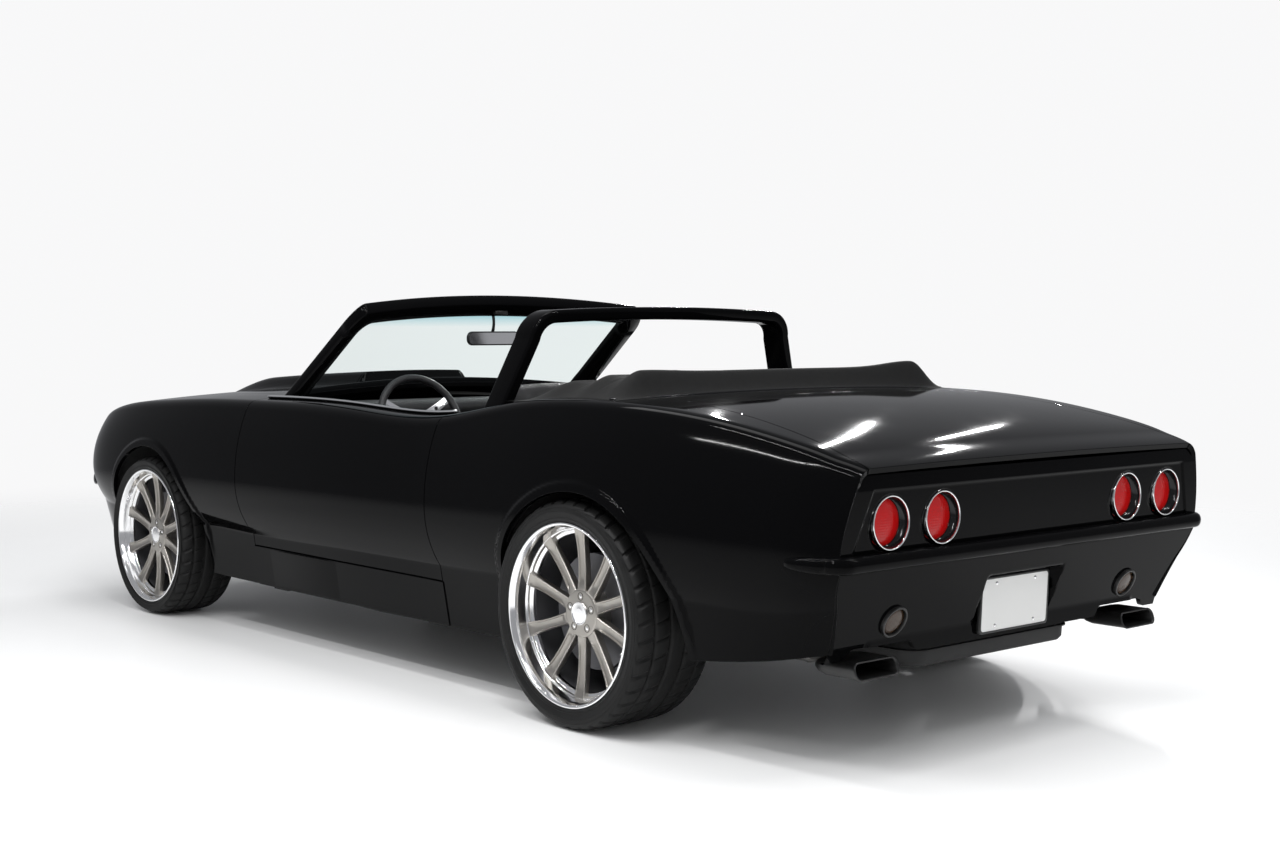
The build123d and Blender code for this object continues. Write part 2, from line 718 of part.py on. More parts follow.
axle_tube_radius = 38
rear_hub_y = rear_face_y - rear_dish - 70
link_front_x = floor_rear_x - 75
with BuildPart() as rear_axle:
    add(disc(rear_axle_x, rear_tyre_radius, axle_tube_radius, -rear_hub_y + 60, rear_hub_y - 60))
    add(disc(rear_axle_x, rear_tyre_radius, spindle_radius, -rear_hub_y - 8, rear_hub_y + 8))
    add(disc(rear_axle_x, rear_tyre_radius - 12, 108, -110, 110))
    for side in (-1, 1):
        link_inner, link_outer = sorted((side * 430, side * 476))
        add(span(rear_axle_x, link_front_x, link_inner, link_outer, 268, 306))
        with BuildSketch(Plane.XY.offset(rear_tyre_radius)):
            with Locations((rear_axle_x + 60, side * 400)):
                Circle(36)
        extrude(amount=axle_hump_z - seat_gap - rear_tyre_radius)
        add(span(rear_axle_x, rear_axle_x + 100, side * 400 - 44, side * 400 + 44, 296, 350))
write(rear_axle, "rear_axle")


def tyre(axle_x, face_y, radius, width):
    """A low tyre with rounded shoulders, seated on the rim's beads."""
    outer_y = face_y + tyre_bulge
    inner_y = outer_y - width
    with BuildPart() as ring:
        with BuildSketch(Plane(origin=(axle_x, 0, radius), x_dir=(1, 0, 0), z_dir=(0, 0, 1))):
            with BuildLine():
                bead = (rim_radius + seat_gap, outer_y - 14 - seat_gap)
                inner_bead = (rim_radius + seat_gap, inner_y + 13 + seat_gap)
                side_radius = (rim_radius + radius) / 2
                Polyline(
                    bead,
                    (rim_radius + tyre_bead_height, outer_y - 3),
                    (side_radius, outer_y),
                    (radius - tyre_shoulder_drop, outer_y - 7),
                    (radius - 3, outer_y - tyre_shoulder_width),
                    (radius, outer_y - 2 * tyre_shoulder_width),
                    (radius, inner_y + 2 * tyre_shoulder_width),
                    (radius - 3, inner_y + tyre_shoulder_width),
                    (radius - tyre_shoulder_drop, inner_y + 7),
                    (side_radius, inner_y),
                    (rim_radius + tyre_bead_height, inner_y + 3),
                    inner_bead,
                    (rim_radius - 6, inner_y + 15 + seat_gap),
                    (rim_radius - 6, bead[1]),
                    close=True,
                )
            make_face()
        revolve(axis=Axis((axle_x, 0, radius), (0, 1, 0)))
    return ring.part


def rim(axle_x, face_y, radius, width, dish):
    """Stepped outer lip, barrel, ten spokes set in from the lip, hub with five lug pockets, brake rotor."""
    seat = rim_radius - 6 - seat_gap
    outer_y = face_y
    inner_y = face_y + tyre_bulge - width
    spoke_y = face_y - dish
    hub_back_y = spoke_y - 70
    axis = Axis((axle_x, 0, radius), (0, 1, 0))
    section = Plane(origin=(axle_x, 0, radius), x_dir=(1, 0, 0), z_dir=(0, 0, 1))
    with BuildPart() as wheel:
        with BuildSketch(section):
            with BuildLine():
                Polyline(
                    (rim_radius, outer_y),
                    (rim_radius, outer_y - 8),
                    (seat, outer_y - 9),
                    (seat, inner_y + 15),
                    (rim_radius, inner_y + 13),
                    (rim_radius, inner_y + 6),
                    (bead_radius - 8, inner_y + 6),
                    (bead_radius - 8, spoke_y - 30),
                    (bead_radius - 20, spoke_y - 22),
                    (bead_radius - 20, spoke_y + 2),
                    (bead_radius - 4, spoke_y + 12),
                    (bead_radius - 4, outer_y - 10),
                    (rim_radius - 10, outer_y),
                    close=True,
                )
            make_face()
        revolve(axis=axis)
        with BuildSketch(section):
            with BuildLine():
                Polyline(
                    (0, hub_back_y),
                    (hub_radius + 14, hub_back_y),
                    (hub_radius + 14, hub_back_y + 12),
                    (hub_radius, spoke_y - 24),
                    (hub_radius, spoke_y - 6),
                    (hub_radius - 26, spoke_y - 6),
                    (hub_radius - 26, spoke_y + 8),
                    (0, spoke_y + 10),
                    close=True,
                )
            make_face()
        revolve(axis=axis)
        with BuildSketch(Plane.XZ.offset(-(spoke_y + 2))):
            with Locations((axle_x, radius)):
                with PolarLocations((hub_radius + bead_radius) / 2 - 10, spoke_count):
                    Rectangle(bead_radius - hub_radius, spoke_width)
        extrude(amount=spoke_depth)
        with BuildSketch(Plane.XZ.offset(-(hub_back_y + 12))):
            with Locations((axle_x, radius)):
                Circle(rotor_radius)
        extrude(amount=rotor_thickness)
        with BuildSketch(Plane.XZ.offset(-(hub_back_y + 2))):
            with Locations((axle_x, radius)):
                Circle(spindle_radius + spindle_clearance)
        extrude(amount=-2, mode=Mode.SUBTRACT)
        with BuildSketch(Plane.XZ.offset(-(hub_back_y - rotor_thickness))):
            with Locations((axle_x, radius)):
                Circle(spindle_radius + spindle_clearance)
        extrude(amount=-rotor_thickness - 20, mode=Mode.SUBTRACT)
    return wheel.part


WHEELS = [
    ("front", front_axle_x, front_face_y, front_tyre_radius, front_tyre_width, front_dish),
    ("rear", rear_axle_x, rear_face_y, rear_tyre_radius, rear_tyre_width, rear_dish),
]
for end, axle_x, face_y, radius, width, dish in WHEELS:
    left_tyre = tyre(axle_x, face_y, radius, width)
    left_rim = rim(axle_x, face_y, radius, width, dish)
    for side in ("left", "right"):
        with BuildPart() as tyre_piece:
            if side == "left":
                add(left_tyre)
            else:
                mirror(left_tyre, about=Plane.XZ)
        write(tyre_piece, f"tyre_{end}_{side}")
        with BuildPart() as rim_piece:
            if side == "left":
                add(left_rim)
            else:
                mirror(left_rim, about=Plane.XZ)
        write(rim_piece, f"rim_{end}_{side}")

# Front knuckles: upright, spindle, steering arm and brake caliper
front_hub_back_y = front_face_y - front_dish - 70
with BuildPart() as knuckle_left:
    upright_low = lower_arm_z + 16 + seat_gap
    upright_high = upper_arm_z - seat_gap
    add(span(front_axle_x - 24, front_axle_x + 24, kingpin_y - 16, kingpin_y + 16, upright_low, upright_high))
    add(disc(front_axle_x, front_tyre_radius, spindle_radius, kingpin_y, front_hub_back_y + 8))
    add(span(front_axle_x - 150, front_axle_x, kingpin_y - 14, kingpin_y + 6, 262, 282))
write(knuckle_left, "knuckle_left")
with BuildPart() as knuckle_right:
    mirror(knuckle_left.part, about=Plane.XZ)
write(knuckle_right, "knuckle_right")

# Dashboard
with BuildPart() as dashboard:
    outline = [(firewall_x, 650), (firewall_x, 866), (548, 886), (450, 890), (404, 866), (404, 716), (470, 650)]
    add(side_prism(outline, -rocker_inner_y - 20, rocker_inner_y + 20))
    add(span(firewall_x - 200, firewall_x, -tunnel_half_width + 20, tunnel_half_width - 20, tunnel_top_z + seat_gap, 716))
write(dashboard, "dashboard")

# Steering column and wheel on one tilted axis
column = Plane(
    origin=wheel_centre,
    x_dir=(0, 1, 0),
    z_dir=(-cos(radians(column_angle)), 0, sin(radians(column_angle))),
)
with BuildPart() as steering_column:
    with BuildSketch(column.offset(-30 - seat_gap)):
        Circle(column_radius)
    extrude(amount=-300)
    add(dashboard.part, mode=Mode.SUBTRACT)
    add(span(412, 900, -wide_y, wide_y, low_z, high_z), mode=Mode.SUBTRACT)
write(steering_column, "steering_column")

with BuildPart() as steering_wheel:
    with BuildSketch(Plane(origin=wheel_centre, x_dir=column.x_dir, z_dir=column.y_dir)):
        with Locations((steering_radius - steering_rim, 0)):
            RegularPolygon(steering_rim, 8)
    revolve(axis=Axis(wheel_centre, column.z_dir))
    with BuildSketch(column.offset(-30)):
        Circle(46)
    extrude(amount=24)
    for turn in (0, 120, 240):
        with BuildSketch(column.offset(-18)):
            with Locations(Rotation(0, 0, turn + 90)):
                Rectangle(steering_radius - 20, 30, align=(Align.MIN, Align.CENTER))
        extrude(amount=6)
write(steering_wheel, "steering_wheel")

# Seats
seat_cushion = [(-400, 300), (60, 330), (96, 400), (70, 470), (-380, 430), (-440, 380)]
seat_back = [(-380, 430), (-520, 960), (-560, 998), (-610, 1000), (-640, 960), (-560, 380), (-440, 330)]
with BuildPart() as seat_left:
    add(side_prism(seat_cushion, seat_y - seat_width / 2, seat_y + seat_width / 2))
    add(side_prism(seat_back, seat_y - seat_width / 2, seat_y + seat_width / 2))
    add(span(-380, 20, seat_y - 180, seat_y + 180, floor_z + floor_thickness, 340))
write(seat_left, "seat_left")
with BuildPart() as seat_right:
    mirror(seat_left.part, about=Plane.XZ)
write(seat_right, "seat_right")

rear_cushion = [(-1060, 470), (-720, 400), (-690, 440), (-700, 500), (-760, 530), (-1040, 500)]
rear_back = [(-1040, 500), (-1060, 470), (bulkhead_x + seat_gap, 480), (bulkhead_x + seat_gap, 850), (-1120, 866), (-1080, 850)]
with BuildPart() as rear_seat:
    add(side_prism(rear_cushion, -560, 560))
    add(side_prism(rear_back, -560, 560))
write(rear_seat, "rear_seat")


def screen_slab(thickness):
    """The curved sheet that the windscreen follows, of the given thickness along the car."""
    base_x, base_y, base_z = screen_base
    top_x, top_y, top_z = screen_top
    lean = degrees(atan2(header_rise, screen_top_bow))
    top_plane = Plane(
        origin=(top_x, 0, top_z),
        x_dir=(0, 1, 0),
        z_dir=(-sin(radians(lean)), 0, cos(radians(lean))),
    )
    bow = (header_rise**2 + screen_top_bow**2) ** 0.5
    with BuildPart() as slab:
        for plane, half, depth in (
            (Plane(origin=(base_x, 0, base_z), x_dir=(0, 1, 0), z_dir=(0, 0, 1)), base_y, -screen_base_bow),
            (top_plane, top_y, -bow),
        ):
            near, far = -thickness / 2, thickness / 2
            with BuildSketch(plane):
                with BuildLine():
                    ThreePointArc((-half, near), (0, depth + near), (half, near))
                    Line((half, near), (half, far))
                    ThreePointArc((half, far), (0, depth + far), (-half, far))
                    Line((-half, far), (-half, near))
                make_face()
        loft(ruled=True)
    return slab.part


def screen_opening(clearance):
    """The see-through outline of the windscreen, seen from the front."""
    with BuildPart() as opening:
        with BuildSketch(Plane.YZ.offset(-200)) as outline:
            low, top_half = 672 - clearance, 612 - clearance
            low_z_end, mid_z, top = 925 + clearance, 972 + clearance, screen_open_top - clearance
            with BuildLine():
                ThreePointArc((-low, low_z_end), (0, mid_z), (low, low_z_end))
                Line((low, low_z_end), (top_half, top))
                ThreePointArc((top_half, top), (0, top + header_rise), (-top_half, top))
                Line((-top_half, top), (-low, low_z_end))
            make_face()
            fillet(outline.vertices().group_by(Axis.Z)[-1], 40)
        extrude(amount=1200)
    return opening.part


with BuildPart() as windshield_frame:
    add(screen_slab(frame_thickness))
    add(screen_opening(0), mode=Mode.SUBTRACT)
    add(outer_form, mode=Mode.SUBTRACT)
write(windshield_frame, "windshield_frame")
with BuildPart() as windshield_glass:
    add(screen_slab(glass_thickness))
    add(screen_opening(seat_gap), mode=Mode.INTERSECT)
write(windshield_glass, "windshield_glass")

# Inside mirror on its stem
with BuildPart() as rear_view_mirror:
    with BuildSketch(Plane.YZ.offset(232)):
        with Locations((0, 1128)):
            SlotOverall(250, 62)
    extrude(amount=24)
    add(span(218, 240, -7, 7, 1150, screen_open_top + header_rise - seat_gap))
write(rear_view_mirror, "rear_view_mirror")

# Roll hoop: upright legs to the belt, then leaning in to a crowned bar
hoop_plane = Plane(
    origin=(hoop_base_x, 0, 904),
    x_dir=(0, 1, 0),
    z_dir=(cos(radians(hoop_lean)), 0, sin(radians(hoop_lean))),
)


def hoop_outline(inset):
    """Half widths and heights of the hoop's outline, drawn in by inset."""
    with BuildLine(mode=Mode.PRIVATE) as line:
        Line((-690 + inset, -560), (-690 + inset, -20))
        Line((-690 + inset, -20), (-562 + inset, 304 - inset))
        ThreePointArc((-562 + inset, 304 - inset), (0, 318 - inset), (562 - inset, 304 - inset))
        Line((562 - inset, 304 - inset), (690 - inset, -20))
        Line((690 - inset, -20), (690 - inset, -560))
        Line((690 - inset, -560), (-690 + inset, -560))
    return line.wires()[0]


with BuildPart() as roll_hoop:
    with BuildSketch(hoop_plane) as outline:
        with BuildLine():
            add(hoop_outline(0))
        make_face()
        fillet(outline.vertices().group_by(Axis.Z)[-1], 64)
    extrude(amount=hoop_depth / 2, both=True)
    with BuildSketch(hoop_plane) as outline:
        with BuildLine():
            add(hoop_outline(hoop_tube))
        make_face()
        fillet(outline.vertices().group_by(Axis.Z)[-1], 40)
    extrude(amount=hoop_depth, both=True, mode=Mode.SUBTRACT)
    add(span(-wide_y, wide_y, -wide_y, wide_y, low_z, floor_z + floor_thickness), mode=Mode.SUBTRACT)
write(roll_hoop, "roll_hoop")

# Boot cover over the folded roof
boot_half = cockpit_half_width - seat_gap
BOOT = [
    (-800, 640, 930, 956),
    (-1000, 650, 930, 986),
    (-1250, 650, 930, 1006),
    (deck_front_x + seat_gap, 620, 930, 1024),
]
with BuildPart() as boot_cover:
    for x, half, bottom, top in BOOT:
        with BuildSketch(Plane.YZ.offset(x)):
            with BuildLine():
                side_top = bottom + 34
                Polyline((half, top), (boot_half, side_top), (boot_half, bottom), (-boot_half, bottom))
                Polyline((-boot_half, bottom), (-boot_half, side_top), (-half, top))
                ThreePointArc((-half, top), (0, top - 14), (half, top))
            make_face()
    loft(ruled=True)
write(boot_cover, "boot_cover")
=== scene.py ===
"""Black open muscle car on a pale studio floor, seen from its rear left.

Metres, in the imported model's frame: +X forward, +Y to the car's left, +Z up.
"""
import json
import math
import random

import bmesh
import bpy
import numpy as np
from mathutils import Matrix, Vector

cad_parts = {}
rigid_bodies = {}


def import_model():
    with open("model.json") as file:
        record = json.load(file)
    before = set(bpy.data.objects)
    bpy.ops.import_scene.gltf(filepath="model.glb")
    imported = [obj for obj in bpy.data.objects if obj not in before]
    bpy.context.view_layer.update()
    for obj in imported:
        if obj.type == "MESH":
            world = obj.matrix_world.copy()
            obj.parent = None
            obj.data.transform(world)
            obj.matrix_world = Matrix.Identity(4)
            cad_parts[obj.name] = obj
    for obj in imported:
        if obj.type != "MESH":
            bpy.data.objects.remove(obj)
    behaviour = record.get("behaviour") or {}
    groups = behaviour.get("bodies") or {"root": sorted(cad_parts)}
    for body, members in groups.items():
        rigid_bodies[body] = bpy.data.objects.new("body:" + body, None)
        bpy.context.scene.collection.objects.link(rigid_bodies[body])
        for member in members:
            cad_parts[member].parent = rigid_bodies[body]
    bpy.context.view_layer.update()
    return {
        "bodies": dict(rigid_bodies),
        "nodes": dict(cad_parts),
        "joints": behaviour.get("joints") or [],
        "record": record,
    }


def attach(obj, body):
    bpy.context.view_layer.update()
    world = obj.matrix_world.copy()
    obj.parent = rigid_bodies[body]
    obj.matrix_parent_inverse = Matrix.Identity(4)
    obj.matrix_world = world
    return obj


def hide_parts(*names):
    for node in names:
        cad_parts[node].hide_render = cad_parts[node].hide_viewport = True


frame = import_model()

nodes = frame["nodes"]


# Paint: two-stage gloss black over steel, clear-coated, flatted and polished. A faint orange peel
# and a little dust stay in it, so the reflections waver slightly.
def new_material(name):
    material = bpy.data.materials.new(name)
    material.use_nodes = True
    tree = material.node_tree
    shader = tree.nodes["Principled BSDF"]
    return material, tree, shader


def node(tree, kind, inputs=None, **settings):
    """A shader node with its inputs set by name or index; a socket in inputs is linked."""
    made = tree.nodes.new(kind)
    for key, value in settings.items():
        setattr(made, key, value)
    for key, value in (inputs or {}).items():
        if isinstance(value, bpy.types.NodeSocket):
            tree.links.new(value, made.inputs[key])
        else:
            made.inputs[key].default_value = value
    return made


def noise(tree, place, scale, detail):
    """A noise texture on the piece's own coordinates."""
    return node(
        tree, "ShaderNodeTexNoise", {"Vector": place.outputs["Object"], "Scale": scale, "Detail": detail}
    )


def spread(tree, value, low, high, to_low, to_high):
    """A value between low and high, spread over a new range and held to it."""
    ends = {"From Min": low, "From Max": high, "To Min": to_low, "To Max": to_high}
    return node(tree, "ShaderNodeMapRange", {"Value": value, **ends})


def surface_group(name, outputs):
    """An empty shader node group with a Scale input and the named outputs."""
    group = bpy.data.node_groups.new(name, "ShaderNodeTree")
    group.interface.new_socket("Scale", in_out="INPUT", socket_type="NodeSocketFloat")
    for socket, kind in outputs:
        group.interface.new_socket(socket, in_out="OUTPUT", socket_type=kind)
    return group, group.nodes.new("NodeGroupInput"), group.nodes.new("NodeGroupOutput")


# Fine dust: every hard surface of a garage-kept car carries a little, in loose patches. It is one
# shared group of nodes, and each finish says how much of it shows.
dust_group, dust_in, dust_out = surface_group("fine dust", [("Mask", "NodeSocketFloat")])
dust_place = node(dust_group, "ShaderNodeTexCoord")
dust_fine = noise(dust_group, dust_place, 900.0, 2.0)
dust_wide = noise(dust_group, dust_place, 5.0, 3.0)
dust_specks = node(
    dust_group, "ShaderNodeMapRange", {"Value": dust_fine.outputs["Fac"], "From Min": 0.62, "From Max": 0.75}
)
dust_patches = node(
    dust_group, "ShaderNodeMapRange", {"Value": dust_wide.outputs["Fac"], "From Min": 0.4, "From Max": 0.7}
)
dust_mix = node(
    dust_group,
    "ShaderNodeMath",
    {0: dust_specks.outputs[0], 1: dust_patches.outputs[0]},
    operation="MULTIPLY",
)
dust_scaled = node(
    dust_group, "ShaderNodeMath", {0: dust_mix.outputs[0], 1: dust_in.outputs["Scale"]}, operation="MULTIPLY"
)
dust_group.links.new(dust_scaled.outputs[0], dust_out.inputs["Mask"])


def hard_material(name, color, metallic, roughness, dust=0.3, wander=0.04, wave=0.0):
    """A painted, plated or moulded surface: colour, gloss that wanders a little, dust specks."""
    material, tree, shader = new_material(name)
    where = node(tree, "ShaderNodeTexCoord")
    haze = noise(tree, where, 9.0, 4.0)
    gloss = spread(tree, haze.outputs["Fac"], 0.3, 0.7, roughness, roughness + wander)
    specks = node(tree, "ShaderNodeGroup", node_tree=dust_group)
    specks.inputs["Scale"].default_value = dust
    tint = node(
        tree,
        "ShaderNodeMix",
        {"Factor": specks.outputs["Mask"], 6: (*color, 1), 7: (0.33, 0.32, 0.3, 1)},
        data_type="RGBA",
    )
    tree.links.new(tint.outputs[2], shader.inputs["Base Color"])
    rough = node(
        tree,
        "ShaderNodeMath",
        {0: gloss.outputs[0], 1: specks.outputs["Mask"]},
        operation="ADD",
        use_clamp=True,
    )
    tree.links.new(rough.outputs[0], shader.inputs["Roughness"])
    shader.inputs["Metallic"].default_value = metallic
    if wave:
        peel = noise(tree, where, 160.0, 1.0)
        bump = node(
            tree, "ShaderNodeBump", {"Height": peel.outputs["Fac"], "Distance": wave, "Strength": 0.25}
        )
        tree.links.new(bump.outputs[0], shader.inputs["Normal"])
    return material


black_paint = hard_material(
    "black paint", (0.0015, 0.0015, 0.0017), 0.0, 0.045, dust=0.004, wander=0.02, wave=0.00005
)
black_paint.node_tree.nodes["Principled BSDF"].inputs["IOR"].default_value = 1.13


# Body form: the pressed steel shell of the car. The same sections as the solid body are joined by
# one smooth curve along the car, and every outer panel is cut from it.
# Columns: x, waist y and z, shoulder y and z, crown z, tuck y and z, sill y and z
SECTIONS = np.array([
    (-2.340, 0.806, 0.600, 0.764, 0.806, 0.812, 0.752, 0.470, 0.650, 0.340),
    (-2.246, 0.852, 0.600, 0.778, 0.842, 0.852, 0.800, 0.450, 0.735, 0.330),
    (-2.096, 0.882, 0.600, 0.790, 0.880, 0.895, 0.836, 0.430, 0.795, 0.302),
    (-1.801, 0.905, 0.604, 0.800, 0.928, 0.946, 0.864, 0.430, 0.826, 0.262),
    (-1.331, 0.920, 0.610, 0.812, 0.956, 0.976, 0.872, 0.420, 0.828, 0.225),
    (-0.951, 0.909, 0.605, 0.820, 0.938, 0.965, 0.858, 0.410, 0.815, 0.205),
    (-0.600, 0.900, 0.600, 0.835, 0.884, 0.930, 0.838, 0.400, 0.803, 0.200),
    (0.000, 0.902, 0.600, 0.842, 0.888, 0.940, 0.834, 0.395, 0.800, 0.200),
    (0.640, 0.903, 0.598, 0.836, 0.892, 0.945, 0.826, 0.390, 0.798, 0.200),
    (1.015, 0.902, 0.595, 0.832, 0.886, 0.930, 0.832, 0.400, 0.805, 0.205),
    (1.415, 0.896, 0.590, 0.822, 0.868, 0.908, 0.842, 0.400, 0.815, 0.225),
    (1.800, 0.872, 0.580, 0.795, 0.838, 0.874, 0.826, 0.410, 0.800, 0.262),
    (2.050, 0.822, 0.570, 0.742, 0.796, 0.828, 0.772, 0.420, 0.742, 0.300),
    (2.200, 0.754, 0.565, 0.668, 0.758, 0.786, 0.702, 0.440, 0.662, 0.318),
    (2.330, 0.668, 0.560, 0.590, 0.708, 0.732, 0.612, 0.450, 0.570, 0.328),
])
NOSE_X, TAIL_X = 2.330, -2.338
DOOR_FRONT, DOOR_REAR = 0.640, -0.600
HOOD_REAR, HOOD_FRONT = 0.800, 2.150
LID_FRONT, DECK_FRONT = -1.557, -1.376
DOOR_FOOT = 0.348
GAP = 0.0028
SHOULDER_RADIUS = 0.055
FEATURES = (0.0, 0.14, 0.44, 0.74, 0.84, 1.0)


def smooth_columns(x):
    """Every column of the section table at x, along a natural cubic spline."""
    knots = SECTIONS[:, 0]
    values = SECTIONS[:, 1:]
    step = np.diff(knots)
    count = len(knots)
    system = np.zeros((count, count))
    right = np.zeros_like(values)
    system[0, 0] = system[-1, -1] = 1
    for i in range(1, count - 1):
        system[i, i - 1 : i + 2] = step[i - 1], 2 * (step[i - 1] + step[i]), step[i]
        right[i] = 6 * ((values[i + 1] - values[i]) / step[i] - (values[i] - values[i - 1]) / step[i - 1])
    curve = np.linalg.solve(system, right)
    i = np.clip(np.searchsorted(knots, x) - 1, 0, count - 2)
    a = ((knots[i + 1] - x) / step[i])[:, None]
    b = 1 - a
    square = (step[i] ** 2)[:, None] / 6
    return a * values[i] + b * values[i + 1] + ((a**3 - a) * curve[i] + (b**3 - b) * curve[i + 1]) * square


def smooth_step(value, low, high):
    part = np.clip((value - low) / (high - low), 0, 1)
    return part * part * (3 - 2 * part)


ARCHES = ((1.401, 0.288, 0.400), (-1.365, 0.296, 0.404))
LIP_RISE, LIP_WIDTH = 0.008, 0.036


def form(x, t):
    """Points of the body at x and t, from the left sill (0) over the middle (1) to the right (2)."""
    x = np.asarray(x, float)
    t = np.asarray(t, float)
    side = np.where(t > 1, -1.0, 1.0)
    t = np.where(t > 1, 2 - t, t)
    waist_y, waist_z, top_y, top_z, crown_z, tuck_y, tuck_z, sill_y, sill_z = smooth_columns(x).T
    up_radius = ((waist_y - top_y) ** 2 + (top_z - waist_z) ** 2) / (2 * (waist_y - top_y))
    down_radius = ((waist_y - tuck_y) ** 2 + (tuck_z - waist_z) ** 2) / (2 * (waist_y - tuck_y))
    crown_radius = (top_y**2 + (crown_z - top_z) ** 2) / (2 * (crown_z - top_z))
    up_y = waist_y - up_radius
    crown_y = crown_z - crown_radius
    reach_a = up_radius - SHOULDER_RADIUS
    reach_b = crown_radius - SHOULDER_RADIUS
    gap_y, gap_z = -up_y, crown_y - waist_z
    apart = np.hypot(gap_y, gap_z)
    along = (reach_a**2 - reach_b**2 + apart**2) / (2 * apart)
    off = np.sqrt(np.maximum(reach_a**2 - along**2, 0))
    fillet_y = up_y + (along * gap_y - off * gap_z) / apart
    fillet_z = waist_z + (along * gap_z + off * gap_y) / apart
    start_turn = np.arctan2(fillet_z - waist_z, fillet_y - up_y)
    end_turn = np.arctan2(fillet_z - crown_y, fillet_y)
    parts = [np.clip((t - low) / (high - low), 0, 1) for low, high in zip(FEATURES, FEATURES[1:])]
    low_turn = np.arcsin((tuck_z - waist_z) / down_radius)
    turn = low_turn * (1 - parts[1])
    point_y = waist_y - down_radius + down_radius * np.cos(turn)
    point_z = waist_z + down_radius * np.sin(turn)
    in_sill = t < FEATURES[1]
    point_y = np.where(in_sill, sill_y + (tuck_y - sill_y) * parts[0], point_y)
    point_z = np.where(in_sill, sill_z + (tuck_z - sill_z) * parts[0], point_z)
    in_up = t > FEATURES[2]
    turn = start_turn * parts[2]
    point_y = np.where(in_up, up_y + up_radius * np.cos(turn), point_y)
    point_z = np.where(in_up, waist_z + up_radius * np.sin(turn), point_z)
    in_fillet = t > FEATURES[3]
    turn = start_turn + (end_turn - start_turn) * parts[3]
    point_y = np.where(in_fillet, fillet_y + SHOULDER_RADIUS * np.cos(turn), point_y)
    point_z = np.where(in_fillet, fillet_z + SHOULDER_RADIUS * np.sin(turn), point_z)
    in_top = t > FEATURES[4]
    turn = end_turn + (math.pi / 2 - end_turn) * parts[4]
    point_y = np.where(in_top, crown_radius * np.cos(turn), point_y)
    point_z = np.where(in_top, crown_y + crown_radius * np.sin(turn), point_z)
    for arch_x, arch_z, radius in ARCHES:
        rim_gap = np.hypot(x - arch_x, point_z - arch_z) - radius
        rise = 1 - smooth_step(rim_gap, LIP_WIDTH * 0.55, LIP_WIDTH)
        above_foot = smooth_step(point_z, arch_z - 0.05, arch_z + 0.08)
        point_y = point_y + np.where(point_z > arch_z - 0.05, LIP_RISE * rise, 0) * above_foot
    half_bulge = 0.285 - 0.045 * smooth_step(x, 1.2, 2.1)
    swell = 0.034 * smooth_step(x, 2.13, 1.55) + 0.018 * smooth_step(x, 2.13, 1.95)
    swell = swell * (1 - smooth_step(point_y, half_bulge - 0.06, half_bulge)) * (x > HOOD_REAR - 0.02)
    point_z = point_z + np.where(in_top, swell, 0)
    point_z = point_z + 0.009 * smooth_step(-x, 2.230, 2.338) * smooth_step(t, 0.60, 0.80)
    return np.stack([x, point_y * side, point_z], axis=-1)


def form_normals(x, t):
    """Outward normals of the body form, from small steps along it."""
    step_x, step_t = 0.0015, 0.0012
    low_x = np.clip(x - step_x, SECTIONS[0, 0], SECTIONS[-1, 0])
    high_x = np.clip(x + step_x, SECTIONS[0, 0], SECTIONS[-1, 0])
    along = form(high_x, t) - form(low_x, t)
    across = form(x, np.clip(t + step_t, 0, 2)) - form(x, np.clip(t - step_t, 0, 2))
    normal = np.cross(across, along)
    return normal / np.maximum(np.linalg.norm(normal, axis=1), 1e-12)[:, None]


def clip_grid(xs, ts, keeps):
    """Grid of the form cut by each keep function; returns x and t of the vertices, and the faces."""
    grid_x, grid_t = np.meshgrid(xs, ts, indexing="ij")
    px, pt = list(grid_x.ravel()), list(grid_t.ravel())
    rows = len(ts)
    faces = [
        (i * rows + j, i * rows + j + 1, (i + 1) * rows + j + 1, (i + 1) * rows + j)
        for i in range(len(xs) - 1)
        for j in range(rows - 1)
    ]
    for keep in keeps:
        value = keep(form(np.array(px), np.array(pt)))
        inside = value > 0
        crossings = {}
        for face in faces:
            for a, b in zip(face, face[1:] + face[:1]):
                if inside[a] != inside[b]:
                    crossings[(min(a, b), max(a, b))] = None
        pairs = list(crossings)
        if pairs:
            first = np.array([p[0] for p in pairs])
            last = np.array([p[1] for p in pairs])
            ax, at = np.array(px)[first], np.array(pt)[first]
            bx, bt = np.array(px)[last], np.array(pt)[last]
            low, high = np.zeros(len(pairs)), np.ones(len(pairs))
            start_inside = inside[first]
            for _ in range(22):
                middle = (low + high) / 2
                same = (keep(form(ax + (bx - ax) * middle, at + (bt - at) * middle)) > 0) == start_inside
                low, high = np.where(same, middle, low), np.where(same, high, middle)
            for k, pair in enumerate(pairs):
                crossings[pair] = len(px)
                px.append(ax[k] + (bx[k] - ax[k]) * low[k])
                pt.append(at[k] + (bt[k] - at[k]) * low[k])
        kept = []
        for face in faces:
            if all(inside[v] for v in face):
                kept.append(face)
                continue
            if not any(inside[v] for v in face):
                continue
            cut = []
            for a, b in zip(face, face[1:] + face[:1]):
                if inside[a]:
                    cut.append(a)
                if inside[a] != inside[b]:
                    cut.append(crossings[(min(a, b), max(a, b))])
            if len(cut) > 2:
                kept.append(tuple(cut))
        faces = kept
    used = sorted({v for face in faces for v in face})
    renumber = {old: new for new, old in enumerate(used)}
    return np.array(px)[used], np.array(pt)[used], [tuple(renumber[v] for v in face) for face in faces]


